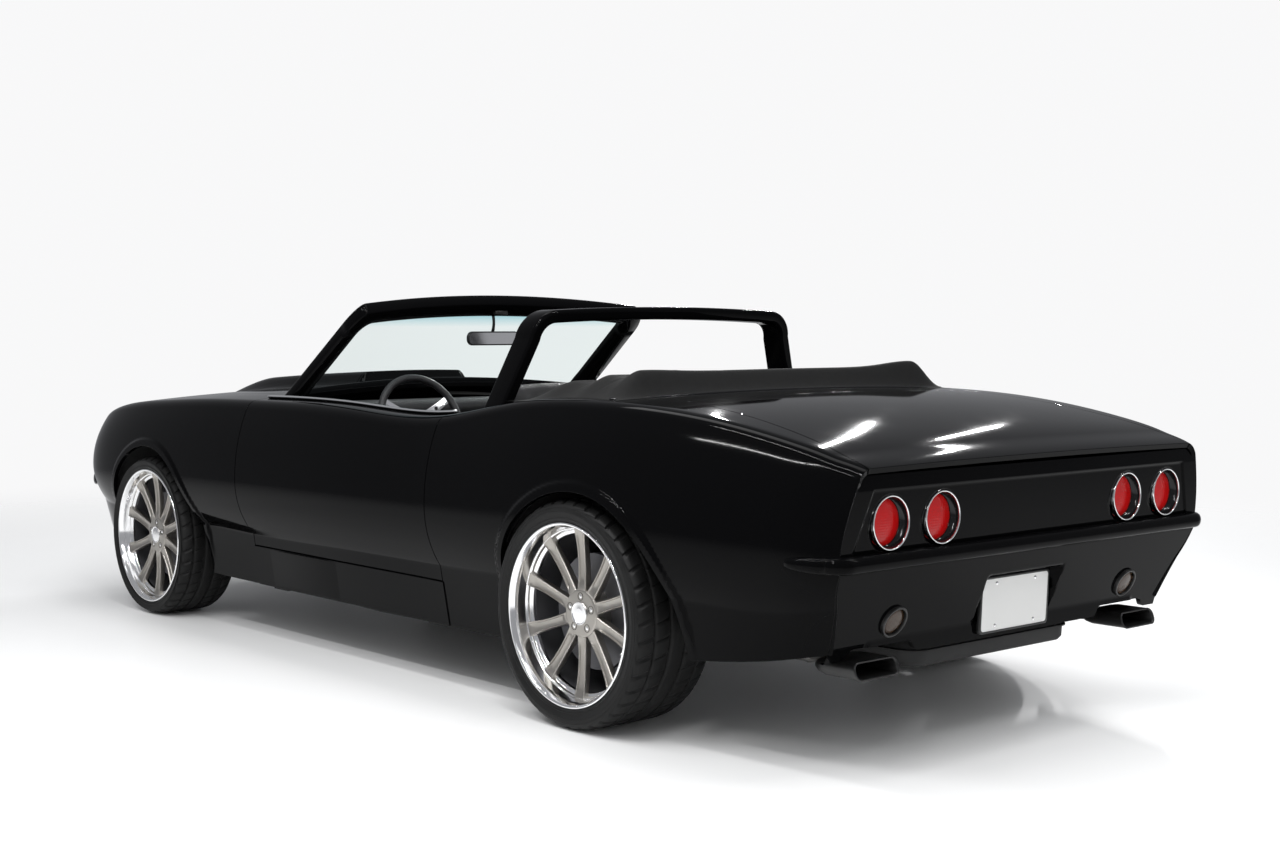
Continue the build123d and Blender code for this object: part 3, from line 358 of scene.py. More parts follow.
def body_panel(x_range, t_range, keeps, depth=0.016, step=0.010, t_count=140, lift=0.0):
    """One outer panel cut from the form, with rounded, turned-in edges; returns vertices, faces, normals."""
    count = max(3, round((x_range[1] - x_range[0]) / step))
    xs = np.linspace(*x_range, count)
    ts = np.linspace(*t_range, t_count)
    px, pt, faces = clip_grid(xs, ts, keeps)
    points = form(px, pt)
    normals = form_normals(px, pt)
    points = points + normals * lift
    edges = {}
    for face in faces:
        for a, b in zip(face, face[1:] + face[:1]):
            edges[(a, b)] = edges.get((a, b), 0) + 1
    border = [(a, b) for (a, b) in edges if (b, a) not in edges]
    out = np.zeros_like(points)
    for a, b in border:
        run = points[b] - points[a]
        outward = np.cross(run, (normals[a] + normals[b]) / 2)
        length = np.linalg.norm(outward)
        if length > 1e-9:
            out[a] += outward / length
            out[b] += outward / length
    rim = sorted({v for edge in border for v in edge})
    lengths = np.maximum(np.linalg.norm(out[rim], axis=1), 1e-9)[:, None]
    outward = out[rim] / lengths
    inward = -normals[rim]
    rings = [
        (points[rim] + outward * 0.0009 + inward * 0.0004, normals[rim] * 0.7 + outward * 0.7),
        (points[rim] + outward * 0.0013 + inward * 0.0014, outward),
        (points[rim] + outward * 0.0013 + inward * depth, outward),
    ]
    all_points = [points] + [ring[0] for ring in rings]
    all_normals = [normals] + [ring[1] for ring in rings]
    start = {v: k for k, v in enumerate(rim)}
    base = len(points)
    size = len(rim)
    for a, b in border:
        chain_a = [a] + [base + k * size + start[a] for k in range(len(rings))]
        chain_b = [b] + [base + k * size + start[b] for k in range(len(rings))]
        for k in range(len(rings)):
            faces.append((chain_b[k], chain_a[k], chain_a[k + 1], chain_b[k + 1]))
    return np.concatenate(all_points), faces, np.concatenate(all_normals)


def mirrored(points, faces, normals):
    flip = np.array([1, -1, 1])
    return points * flip, [tuple(reversed(face)) for face in faces], normals * flip


def above(level):
    return lambda p: p[:, 2] - level


def below(level):
    return lambda p: level - p[:, 2]


def mesh_object(name, verts, faces, normals=None, smooth=True):
    """A mesh object from plain lists, with its own vertex normals where they are given."""
    mesh = bpy.data.meshes.new(name)
    mesh.from_pydata([tuple(v) for v in verts], [], [tuple(f) for f in faces])
    mesh.polygons.foreach_set("use_smooth", [smooth] * len(mesh.polygons))
    if normals is not None:
        mesh.normals_split_custom_set_from_vertices([tuple(n) for n in normals])
    mesh.update()
    obj = bpy.data.objects.new(name, mesh)
    bpy.context.scene.collection.objects.link(obj)
    return obj


def coated(obj, *materials):
    """Gives a piece its materials."""
    for material in materials:
        obj.data.materials.append(material)
    return obj


def place(obj, body, *materials, stands_for=(), slot=None):
    """Materials, the body that carries the piece and the nodes it stands for; slot is not used."""
    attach(coated(obj, *materials), body)
    if stands_for:
        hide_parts(*stands_for)
    return obj


def outside_arch(arch):
    """Keeps what lies outside a wheel arch; below its middle the arch opens straight down."""
    arch_x, arch_z, radius = arch
    return lambda p: np.hypot(p[:, 0] - arch_x, np.maximum(p[:, 2] - arch_z, 0)) - radius


def hood_half(x):
    return 0.640 + (0.600 - 0.640) * (x - HOOD_REAR) / (HOOD_FRONT - HOOD_REAR)


def lid_half(x):
    return 0.640 + (0.742 - 0.640) * (LID_FRONT - x) / (LID_FRONT + 2.346)


def tail_keep(p):
    """Ahead of the tail line, which leans in below the deck edge and runs forward under the bumper."""
    limit = np.interp(p[:, 2], [0.300, 0.548, 0.583, 0.785, 1.2], [-2.215, -2.312, -2.312, -2.338, -2.338])
    return p[:, 0] - limit


def nose_bow(y):
    """How far the nose falls back from its middle."""
    return 0.060 * (y / 0.7) ** 2


def nose_keep(p):
    bow = NOSE_X - nose_bow(p[:, 1])
    under = np.interp(p[:, 2], [0.2, 0.330, 0.560, 1.0], [-0.235, -0.150, 0, 0])
    return bow + under - p[:, 0]


SIDE = (0.0, 0.93)
PANELS = [
    (
        "front_fender",
        (DOOR_FRONT + GAP, HOOD_FRONT - GAP),
        SIDE,
        [outside_arch(ARCHES[0]), lambda p: np.abs(p[:, 1]) - np.maximum(hood_half(p[:, 0]), 0) - GAP],
        "body",
    ),
    (
        "door",
        (DOOR_REAR + GAP, DOOR_FRONT - GAP),
        (0.0, 0.88),
        [above(DOOR_FOOT + GAP), lambda p: np.abs(p[:, 1]) - 0.757],
        "door",
    ),
    (
        "quarter",
        (-2.340, DOOR_REAR - GAP),
        SIDE,
        [
            outside_arch(ARCHES[1]),
            tail_keep,
            lambda p: np.abs(p[:, 1]) - np.where(
                p[:, 0] < LID_FRONT, lid_half(p[:, 0]) + GAP, np.where(p[:, 0] < DECK_FRONT, 0.643, 0.717)
            ),
        ],
        "body",
    ),
]
for name, x_range, t_range, keeps, body in PANELS:
    left = body_panel(x_range, t_range, keeps)
    for side, shape in (("left", left), ("right", mirrored(*left))):
        piece = mesh_object(f"{name}_skin_{side}", *shape)
        carrier = f"door_{side}" if body == "door" else body
        place(piece, carrier, black_paint, stands_for=[f"{name}_{side}"], slot="paint")

WIDE = (0.78, 1.22)
MIDDLE_PANELS = [
    (
        "hood",
        (HOOD_REAR + GAP, HOOD_FRONT - GAP),
        [lambda p: hood_half(p[:, 0]) - GAP - np.abs(p[:, 1])],
        "hood",
    ),
    (
        "trunk_lid",
        (TAIL_X, LID_FRONT - GAP),
        [lambda p: lid_half(p[:, 0]) - GAP - np.abs(p[:, 1]), above(0.791)],
        "trunk_lid",
    ),
    ("deck_panel", (LID_FRONT + GAP, DECK_FRONT), [lambda p: 0.6425 - np.abs(p[:, 1])], "body"),
    ("cowl_panel", (0.562, HOOD_REAR - GAP), [lambda p: 0.6425 - np.abs(p[:, 1])], "body"),
]
for name, x_range, keeps, body in MIDDLE_PANELS:
    piece = mesh_object(f"{name}_skin", *body_panel(x_range, WIDE, keeps, t_count=150))
    place(piece, body, black_paint, stands_for=[name], slot="paint")

sill = body_panel((DOOR_REAR - GAP, DOOR_FRONT + GAP), (0.0, 0.4), [below(DOOR_FOOT - GAP)], lift=0.0035)
for side, shape in (("left", sill), ("right", mirrored(*sill))):
    place(mesh_object(f"sill_skin_{side}", *shape), "body", black_paint, slot="paint")

nose_keeps = [nose_keep, above(0.458)]
nose = body_panel((HOOD_FRONT + GAP, NOSE_X), (0.0, 2.0), nose_keeps, t_count=260, step=0.008)
place(mesh_object("nose_skin", *nose), "body", black_paint, slot="paint")

# Tail panel: flat painted steel between the deck edge and the bumper, with a shallow framed
# recess round the lamps. Built as a grid in y and height with the lamp holes cut out.
LAMP_Y, LAMP_Z, LAMP_R = (0.6365, 0.428), 0.670, 0.072


def tail_x(z):
    return np.interp(z, [0.300, 0.548, 0.583, 0.785], [-2.207, -2.312, -2.312, -2.338])


def half_width_at(z, x=-2.300, inset=0.0):
    """Half the body's width at a height, found on the form's own side curve."""
    samples = form(np.full(400, x), np.linspace(0, 0.9, 400))
    order = np.argsort(samples[:, 2])
    return np.interp(z, samples[order, 2], samples[order, 1]) - inset


def grid_faces(rows, columns):
    """The quads of a grid of vertices stored row by row."""
    starts = [i * columns + j for i in range(rows - 1) for j in range(columns - 1)]
    return [(a, a + columns, a + columns + 1, a + 1) for a in starts]


def pointed(sheet, way):
    """Turns the faces of an open sheet to point along a direction."""
    solid = bmesh.new()
    solid.from_mesh(sheet.data)
    bmesh.ops.recalc_face_normals(solid, faces=solid.faces)
    if sum(f.normal.dot(Vector(way)) * f.calc_area() for f in solid.faces) < 0:
        bmesh.ops.reverse_faces(solid, faces=solid.faces)
    solid.to_mesh(sheet.data)
    solid.free()
    sheet.data.update()
    return sheet


def tail_sheet(name, z_low, z_high, holes, inset, offset, frame, y_count, z_count):
    """A sheet across the tail that follows the tail line, cut to the body's outline and round holes."""
    verts = []
    for z in np.linspace(z_low, z_high, z_count):
        half = float(half_width_at(z, x=min(-2.20, float(tail_x(z)) + 0.006), inset=inset))
        for y in np.linspace(-1, 1, y_count):
            verts.append([float(tail_x(z)) + offset + frame(y * half, z), y * half, z])
    sheet = mesh_object(name, verts, grid_faces(z_count, y_count))
    solid = bmesh.new()
    solid.from_mesh(sheet.data)
    for center_y, center_z, radius in holes:

        def distance(vert):
            return math.hypot(vert.co.y - center_y, vert.co.z - center_z)

        for vert in [v for v in solid.verts if distance(v) < radius]:
            solid.verts.remove(vert)
        near = [e for e in solid.edges if e.is_boundary and all(distance(v) < radius + 0.03 for v in e.verts)]
        for vert in {v for e in near for v in e.verts}:
            away = Vector((0, vert.co.y - center_y, vert.co.z - center_z)).normalized() * radius
            vert.co = Vector((vert.co.x, center_y + away.y, center_z + away.z))
        edges = [
            e for e in solid.edges if e.is_boundary and all(abs(distance(v) - radius) < 1e-4 for v in e.verts)
        ]
        wall = bmesh.ops.extrude_edge_only(solid, edges=edges)["geom"]
        wall = [part for part in wall if isinstance(part, bmesh.types.BMVert)]
        bmesh.ops.translate(solid, verts=wall, vec=(0.012, 0, 0))
    solid.to_mesh(sheet.data)
    solid.free()
    return pointed(sheet, (-1, 0, 0))


def lamp_frame(y, z):
    """The shallow step that frames the lamps, with slanted ends, under a strip that leans out to the lid."""
    from_edge = min(0.742 - 0.35 * (z - 0.670) - abs(y), z - 0.590, 0.757 - z)
    strip = 0.010 * float(smooth_step(z, 0.757, 0.797))
    return 0.0050 * float(smooth_step(from_edge, -0.003, 0.003)) + strip


lamp_holes = [(side * y, LAMP_Z, LAMP_R + 0.001) for side in (-1, 1) for y in LAMP_Y]
tail_sheet_main = tail_sheet("tail_panel_skin", 0.560, 0.797, lamp_holes, 0.0025, 0.0005, lamp_frame, 420, 70)
place(tail_sheet_main, "body", black_paint, stands_for=["tail_panel"], slot="paint")


def revolved_faces(segments, count, outward):
    """The quads between the profiles of a revolved piece, all facing one way or the other."""
    faces = []
    for k in range(segments):
        for i in range(count - 1):
            a, d = k * count + i, ((k + 1) % segments) * count + i
            faces.append((a, a + 1, d + 1, d) if outward else (a, d, d + 1, a + 1))
    return faces


# Turned parts: rings, tubes and domes, spun from a drawn section about a straight axis. The lamps,
# screws, gauges and steering boss are made this way.
def turned(name, profile, center, axis=0, segments=96):
    """Revolves (radius, distance along the axis) pairs about X, Y or Z through a centre."""
    verts = []
    for k in range(segments):
        turn = 2 * math.pi * k / segments
        for radius, along in profile:
            spot = [0.0, 0.0, 0.0]
            spot[axis] = along
            spot[(axis + 1) % 3] = radius * math.cos(turn)
            spot[(axis + 2) % 3] = radius * math.sin(turn)
            verts.append([spot[i] + center[i] for i in range(3)])
    return mesh_object(name, verts, revolved_faces(segments, len(profile), False))


def joined(name, pieces):
    """One object from several, keeping each one's materials."""
    for chosen in bpy.context.selected_objects:
        chosen.select_set(False)
    for piece in pieces:
        piece.select_set(True)
    bpy.context.view_layer.objects.active = pieces[0]
    bpy.ops.object.join()
    pieces[0].name = name
    return pieces[0]


# Tail lamps: four deep round lamps. A thin bright ring stands in the panel, a dark chromed tube
# runs forward, and a ribbed red lens closes it. Each is turned from its own section.
def set_values(shader, values):
    """Sets what is the same all over a piece on the shader's own sockets."""
    for socket, value in values.items():
        shader.inputs[socket].default_value = value


red_lens, red_tree, red_shader = new_material("red lamp lens")
red_place = node(red_tree, "ShaderNodeTexCoord")
red_split = node(red_tree, "ShaderNodeSeparateXYZ", {0: red_place.outputs["Object"]})
red_ribs = node(red_tree, "ShaderNodeMath", {0: red_split.outputs["Z"], 1: 900.0}, operation="MULTIPLY")
red_wave = node(red_tree, "ShaderNodeMath", {0: red_ribs.outputs[0]}, operation="SINE")
red_cross = node(red_tree, "ShaderNodeMath", {0: red_split.outputs["Y"], 1: 900.0}, operation="MULTIPLY")
red_wave_2 = node(red_tree, "ShaderNodeMath", {0: red_cross.outputs[0]}, operation="SINE")
red_cells = node(
    red_tree, "ShaderNodeMath", {0: red_wave.outputs[0], 1: red_wave_2.outputs[0]}, operation="ADD"
)
red_bump = node(
    red_tree, "ShaderNodeBump", {"Height": red_cells.outputs[0], "Distance": 0.0002, "Strength": 0.3}
)
red_tree.links.new(red_bump.outputs[0], red_shader.inputs["Normal"])
set_values(
    red_shader,
    {
        "Base Color": (0.36, 0.003, 0.004, 1),
        "Roughness": 0.12,
        "Emission Color": (0.9, 0.01, 0.005, 1),
        "Emission Strength": 0.08,
    },
)
bright_metal = hard_material("polished metal", (0.93, 0.93, 0.935), 1.0, 0.09, dust=0.01)
dark_chrome = hard_material("dark chrome", (0.014, 0.014, 0.015), 0.6, 0.12)
lamp_parts = []
for side in (-1, 1):
    for lamp_y in LAMP_Y:
        center = (-2.328, side * lamp_y, LAMP_Z)
        ring = coated(
            turned(
                "ring",
                [
                    (0.0712, 0.012), (0.0712, 0.001), (0.0704, 0.0), (0.0682, 0.0), (0.0672, 0.0016),
                    (0.0670, 0.004),
                ],
                center,
            ),
            bright_metal,
        )
        tube = coated(
            turned(
                "tube",
                [
                    (0.0670, 0.004), (0.0662, 0.006), (0.0645, 0.026), (0.0625, 0.0265), (0.0616, 0.029),
                    (0.0612, 0.032),
                ],
                center,
            ),
            dark_chrome,
        )
        lens = turned(
            "lens",
            [
                (0.0628, 0.032), (0.0600, 0.029), (0.0500, 0.0270), (0.0300, 0.0258), (0.0120, 0.0252),
                (0.0002, 0.0250),
            ],
            center,
        )
        lens.data.materials.append(red_lens)
        lamp_parts += [ring, tube, lens]
place(joined("tail_lamp_set", lamp_parts), "body", stands_for=["tail_lamps"], slot="lamp_glass")


# Shells: surfaces laid over closed rings of points, as a bent tube or a pressing is. Their sharp
# edges are marked, so that flats stay flat beside rounded edges.
def skinned(name, rings, close_ends=True):
    """A surface over closed rings of equal length, with the first and last ring filled."""
    count = len(rings[0])
    verts = [point for ring in rings for point in ring]
    faces = []
    for i in range(len(rings) - 1):
        for j in range(count):
            k = (j + 1) % count
            faces.append((i * count + j, i * count + k, (i + 1) * count + k, (i + 1) * count + j))
    if close_ends:
        faces.append(tuple(reversed(range(count))))
        faces.append(tuple(range((len(rings) - 1) * count, len(rings) * count)))
    made = mesh_object(name, verts, faces)
    solid = bmesh.new()
    solid.from_mesh(made.data)
    bmesh.ops.recalc_face_normals(solid, faces=solid.faces)
    solid.to_mesh(made.data)
    solid.free()
    return made


def auto_sharp(obj, degrees=35):
    """Marks edges sharper than the angle, so that flats stay flat beside rounded edges."""
    limit = math.radians(degrees)
    solid = bmesh.new()
    solid.from_mesh(obj.data)
    for edge in solid.edges:
        if len(edge.link_faces) == 2 and edge.calc_face_angle(0) > limit:
            edge.smooth = False
    solid.to_mesh(obj.data)
    solid.free()
    return obj


# Bumper blades: smoothed steel blades, painted like the body and bolted up close to it. A teardrop
# section is carried along a plan line and drawn in towards both tips.
BLADE = [
    (-0.004, -0.020), (0.006, -0.0215), (0.014, -0.020), (0.0195, -0.015), (0.0225, -0.007), (0.0232, 0.002),
    (0.0220, 0.010), (0.0185, 0.017), (0.012, 0.0220), (0.004, 0.0243), (-0.004, 0.0245),
]
REAR_BUMPER_Z, FRONT_BUMPER_Z = 0.571, 0.493


def blade_rings(plan, level, facing, thin, taper, deep=1.0, tall=1.0):
    """Rings of the blade; thin is the share of its size at a tip, taper the steps to full size."""
    rings = []
    last = len(plan) - 1
    for i, (x, y) in enumerate(plan):
        run = np.subtract(plan[min(i + 1, last)], plan[max(i - 1, 0)])
        run /= np.linalg.norm(run)
        size = min(1.0, thin + (min(i, last - i) / taper) ** 0.6 * (1 - thin))
        ring = []
        for out, up in BLADE:
            reach = facing * (out * size * deep if out > 0 else out)
            ring.append((x + run[1] * reach, y - run[0] * reach, level + tall * up * (0.3 + 0.7 * size)))
        rings.append(ring)
    return rings


def rear_bumper_plan():
    """From the left tip round the tail to the right tip."""
    plan = [(float(x), float(half_width_at(0.572, x=float(x)))) for x in np.linspace(-2.172, -2.268, 12)]
    corner_y = 0.790
    for turn in np.linspace(0.18, 1, 16):
        angle = turn * math.pi / 2
        plan.append((-2.268 - 0.052 * math.sin(angle), corner_y + 0.044 * math.cos(angle)))
    left = list(plan)
    plan += [(-2.320, y) for y in np.linspace(corner_y - 0.03, -(corner_y - 0.03), 60)]
    return plan + [(x, -y) for x, y in reversed(left)]


rear_bumper = skinned("rear_bumper_blade", blade_rings(rear_bumper_plan(), REAR_BUMPER_Z, 1, 0.12, 11))
place(auto_sharp(rear_bumper, 60), "body", black_paint, stands_for=["rear_bumper"], slot="paint")


# Rear valance: the painted pan below the bumper, leaning forward to its foot, with a recess for
# the plate, round reverse lamps set in, and a shallow notch in its lower edge at each exhaust tip.
def pan_x(y, z):
    """The pan's surface: the tail line, set in for the plate and out past the floor's rear edge."""
    plate = smooth_step(0.176 - abs(y), 0, 0.012) * smooth_step(0.487 - z, 0, 0.012)
    plate = float(plate * smooth_step(z - 0.300, -0.02, 0.004))
    floor_edge = -2.2265 + 0.9 * max(0.0, z - 0.345) + 0.06 * float(smooth_step(abs(y), 0.60, 0.70))
    return min(float(tail_x(z)) + 0.034 * plate, floor_edge)


pan_verts = []
PAN_Y, PAN_Z = 300, 44
pan_levels = np.linspace(0.290, 0.560, 60)
pan_halves = np.array([float(half_width_at(z, x=float(tail_x(z)) + 0.006, inset=0.0005)) for z in pan_levels])
for z in np.linspace(0, 1, PAN_Z):
    for y in np.linspace(-1, 1, PAN_Y):
        side = abs(y) * 0.80
        foot = 0.300 + 0.030 * float(smooth_step(side, 0.43, 0.47)) * float(smooth_step(-side, -0.74, -0.70))
        level = foot + (0.550 - foot) * z
        half = float(np.interp(level, pan_levels, pan_halves))
        pan_verts.append([pan_x(y * half, level), y * half, level])
pan_faces = grid_faces(PAN_Z, PAN_Y)
foot_start = len(pan_verts)
for j in range(PAN_Y):
    x, y, z = pan_verts[j]
    pan_verts.append([x + 0.016, y, z + 0.0015])
for j in range(PAN_Y - 1):
    pan_faces.append((j + 1, foot_start + j + 1, foot_start + j, j))
pan = pointed(mesh_object("rear_valance_pan", pan_verts, [tuple(reversed(f)) for f in pan_faces]), (-1, 0, 0))
place(auto_sharp(pan, 50), "body", black_paint, stands_for=["rear_valance"], slot="paint")

# Reverse lamps: round smoked lenses in black moulded bezels, pressed into the pan on each side of
# the plate and leaning with it.
satin_black = hard_material("satin black", (0.007, 0.007, 0.007), 0.0, 0.34, dust=0.1)
smoked, smoked_tree, smoked_shader = new_material("smoked lens")
set_values(smoked_shader, {"Base Color": (0.035, 0.018, 0.008, 1), "Roughness": 0.1})
smoked_place = node(smoked_tree, "ShaderNodeTexCoord")
smoked_rib = node(
    smoked_tree,
    "ShaderNodeTexWave",
    {"Vector": smoked_place.outputs["Object"], "Scale": 90.0},
    bands_direction="Z",
)
smoked_bump = node(
    smoked_tree, "ShaderNodeBump", {"Height": smoked_rib.outputs["Fac"], "Distance": 0.0006, "Strength": 0.5}
)
smoked_tree.links.new(smoked_bump.outputs[0], smoked_shader.inputs["Normal"])
REVERSE_Y, REVERSE_Z, REVERSE_LEAN = 0.535, 0.395, math.radians(-22.9)
reverse_parts = []
for side in (-1, 1):
    spot = Matrix.Translation((float(tail_x(REVERSE_Z)), side * REVERSE_Y, REVERSE_Z))
    bezel = coated(
        turned(
            "bezel",
            [
                (0.046, 0.012), (0.046, -0.008), (0.0445, -0.0100), (0.0405, -0.0100), (0.0392, -0.008),
                (0.0390, 0.002),
            ],
            (0, 0, 0),
            segments=64,
        ),
        satin_black,
    )
    lens = coated(
        turned(
            "lens",
            [(0.0392, 0.002), (0.037, -0.003), (0.026, -0.0055), (0.013, -0.0065), (0.0002, -0.0068)],
            (0, 0, 0),
            segments=64,
        ),
        smoked,
    )
    for part in (bezel, lens):
        part.data.transform(spot @ Matrix.Rotation(REVERSE_LEAN, 4, "Y"))
    reverse_parts += [bezel, lens]
place(joined("reverse_lamps", reverse_parts), "body", slot="lamp_glass")

# Number plate: a bare pressed plate, enamelled white, in a black moulded surround. Four steel
# screws hold it in the recess of the pan.
plate_white = hard_material("plate enamel", (0.70, 0.70, 0.69), 0.0, 0.22, dust=0.1)
PLATE_Z = 0.392
plate_x = float(tail_x(PLATE_Z)) + 0.004
plate_lean = math.radians(3)


def on_plate(out, y, up):
    """A point on the leaning plate: out from its face, across, and up from its middle."""
    c, s = math.cos(plate_lean), math.sin(plate_lean)
    return (plate_x - out * c - up * s, y, PLATE_Z + up * c - out * s)


def rounded_rectangle(half_y, half_z, radius, steps=8):
    points = []
    for corner in range(4):
        mid = math.pi / 2 * corner
        cy = (half_y - radius) * (1 if corner in (0, 3) else -1)
        cz = (half_z - radius) * (1 if corner in (0, 1) else -1)
        for k in range(steps + 1):
            turn = mid + math.pi / 2 * k / steps
            points.append((cy + radius * math.cos(turn), cz + radius * math.sin(turn)))
    return points


rings = []
for grow, out in (
    (0.004, -0.010), (0.004, 0.001), (0.003, 0.002), (0.000, 0.002), (-0.004, 0.0012), (-0.006, 0.0)
):
    rings.append([on_plate(out, y, z) for y, z in rounded_rectangle(0.1535 + grow, 0.0765 + grow, 0.010)])
surround = coated(skinned("plate_surround", rings, close_ends=False), satin_black)
plate_rings = []
for grow, out in (
    (0.0, -0.001), (0.0, 0.0006), (-0.001, 0.0014), (-0.0035, 0.0016), (-0.0055, 0.0006), (-0.0075, 0.0004)
):
    plate_rings.append(
        [on_plate(out, y, z) for y, z in rounded_rectangle(0.1515 + grow, 0.0755 + grow, 0.010)]
    )
plate = coated(skinned("plate", plate_rings), plate_white)
plate_parts = [surround, plate]
for y in (-0.089, 0.089):
    for z in (-0.0605, 0.0605):
        screw = turned(
            "screw",
            [(0.0052, -0.001), (0.0052, 0.0012), (0.0040, 0.0024), (0.0018, 0.0029), (0.0001, 0.0030)],
            (0, 0, 0),
            segments=24,
        )
        spot = Matrix.Translation(on_plate(0.0004, y, z)) @ Matrix.Rotation(math.pi, 4, "Z")
        screw.data.transform(spot @ Matrix.Rotation(-plate_lean, 4, "Y"))
        plate_parts.append(coated(screw, bright_metal))
place(joined("number_plate", plate_parts), "body")

# Exhaust: black flattened tips with a thick rolled edge, cut on a slant, each on a bent pipe from an
# oblong muffler under the trunk floor. A soot-black plug closes each tip inside: real soot, and
# painted shade where the pipe runs on. Rings are carried along each piece.
# Soot black: real soot in the exhaust tips, and painted shade where it lines holes, pockets and openings that
# lie in shade.
soot_and_painted_shade = hard_material("soot_and_painted_shade", (0.006, 0.006, 0.006), 0.0, 0.9, dust=0.0)
raw_steel = hard_material("exhaust steel", (0.16, 0.155, 0.15), 0.9, 0.42, dust=0.4)
TIP_Y, TIP_Z = 0.605, 0.277
exhaust_parts = []
for side in (-1, 1):
    rings = []
    for x, grow in (
        (-2.090, -0.030), (-2.098, -0.016), (-2.115, -0.006), (-2.14, 0.0), (-2.20, 0.0), (-2.2470, 0.0),
        (-2.2530, 0.0015), (-2.2555, 0.0), (-2.2550, -0.0035), (-2.2500, -0.0070), (-2.20, -0.0080),
        (-2.12, -0.0080),
    ):
        lean = 0.35 if x < -2.22 else 0.0
        oblong = rounded_rectangle(0.086 + grow, 0.0235 + grow * 0.7, 0.0205 + grow * 0.6)
        rings.append([(x + lean * z, side * TIP_Y + y, TIP_Z + z) for y, z in oblong])
    tip = coated(skinned("tip", rings, close_ends=False), satin_black)
    plug_rings = [[(-2.121, y, z) for _, y, z in rings[-1]], [(-2.120, side * TIP_Y, TIP_Z)] * len(rings[-1])]
    plug = coated(skinned("plug", plug_rings, close_ends=False), soot_and_painted_shade)
    pipe_rings = []
    for part in np.linspace(0, 1, 20):
        x = -2.105 + 0.165 * part
        y = side * (0.590 - 0.055 * float(smooth_step(part, 0.1, 0.9)))
        turns = np.linspace(0, 2 * math.pi, 33)[:-1]
        pipe_rings.append([(x, y + 0.029 * math.cos(a), TIP_Z + 0.024 * math.sin(a)) for a in turns])
    pipe = coated(skinned("pipe", pipe_rings), raw_steel)
    muffler_rings = []
    for x, grow in (
        (-1.966, -0.016), (-1.963, -0.005), (-1.955, 0.0), (-1.950, -0.002), (-1.81, -0.002),
        (-1.676, -0.002), (-1.671, 0.0), (-1.663, -0.005), (-1.660, -0.016),
    ):
        oblong = rounded_rectangle(0.068 + grow, 0.043 + grow, 0.040 + grow)
        muffler_rings.append([(x, side * 0.510 + y, 0.285 + z) for y, z in oblong])
    muffler = coated(skinned("muffler", muffler_rings), raw_steel)
    exhaust_parts += [tip, plug, pipe, muffler]
place(joined("exhaust_set", exhaust_parts), "body", stands_for=["exhaust"])

# Fuel tank: a shallow tank of two steel pressings, welded at the seam round its middle, hung under
# the trunk floor and painted black. Its black is darkened further as painted shade.
# Chassis black: black paint, darkened further as painted shade, so that parts under the car look in shadow.
chassis_black_with_painted_shade = hard_material("chassis black with painted shade", (0.003, 0.003, 0.0032), 0.0, 0.6, dust=0.2)
tank_rings = []
for z, grow in (
    (0.230, -0.030), (0.233, -0.012), (0.244, -0.002), (0.276, 0.0), (0.277, 0.009), (0.281, 0.009),
    (0.282, 0.0), (0.318, -0.004), (0.328, -0.020),
):
    tank_rings.append(
        [(-1.976 + x, y, z) for x, y in rounded_rectangle(0.200 + grow, 0.365 + grow, 0.060 + grow)]
    )
fuel_tank = skinned("fuel_tank_shell", tank_rings)
place(auto_sharp(fuel_tank, 60), "body", chassis_black_with_painted_shade, stands_for=["fuel_tank"])


# Nose and front valance: painted steel pressings that close the front of the body. Each is a sheet
# laid to the body's width and the bow of the nose, with a rounded slot for the grille and a
# plain one for the air duct.
GRILLE_X, GRILLE_Z, GRILLE_HALF = 2.212, 0.615, 0.640


def slot_gap(p):
    """Distance outside the rounded grille opening, seen from the front."""
    radius = 0.055
    across = np.maximum(np.abs(p[:, 1]) - (GRILLE_HALF - radius), 0)
    up = np.maximum(np.abs(p[:, 2] - GRILLE_Z) - (0.067 - radius), 0)
    return np.hypot(across, up) - radius


def front_face_x(y, z):
    """Foremost surface of the nose and valance at a place across and a height."""
    lean = float(np.interp(z, [0.330, 0.560, 0.700, 0.780], [-0.150, 0.0, -0.012, -0.05]))
    return NOSE_X - nose_bow(y) + lean


def front_sheet(name, z_low, z_high, cut, y_count=260, z_count=40):
    """A sheet across the nose between two heights, cut where the function is not positive."""
    verts, faces, index = [], [], {}
    for i, z in enumerate(np.linspace(z_low, z_high, z_count)):
        half = float(half_width_at(z, x=min(front_face_x(0.62, z) - 0.01, 2.325), inset=0.001))
        for j, part in enumerate(np.linspace(-1, 1, y_count)):
            y = part * half
            x = front_face_x(y, z) - 0.012 * abs(part) ** 10
            index[i, j] = len(verts)
            verts.append([x, y, z])
    gaps = cut(np.array(verts))
    for i in range(z_count - 1):
        for j in range(y_count - 1):
            face = (index[i, j], index[i, j + 1], index[i + 1, j + 1], index[i + 1, j])
            if all(gaps[v] > 0 for v in face):
                faces.append(face)
    return mesh_object(name, verts, faces)


header = front_sheet("nose_face", 0.456, 0.735, slot_gap, z_count=100, y_count=500)
place(header, "body", black_paint, stands_for=["nose_panel"], slot="paint")
valance = front_sheet(
    "front_valance_pan",
    0.316,
    0.458,
    lambda p: np.maximum(np.abs(p[:, 1]) - 0.36, np.abs(p[:, 2] - 0.395) - 0.026),
    z_count=56,
)
place(valance, "body", black_paint, stands_for=["front_valance"], slot="paint")
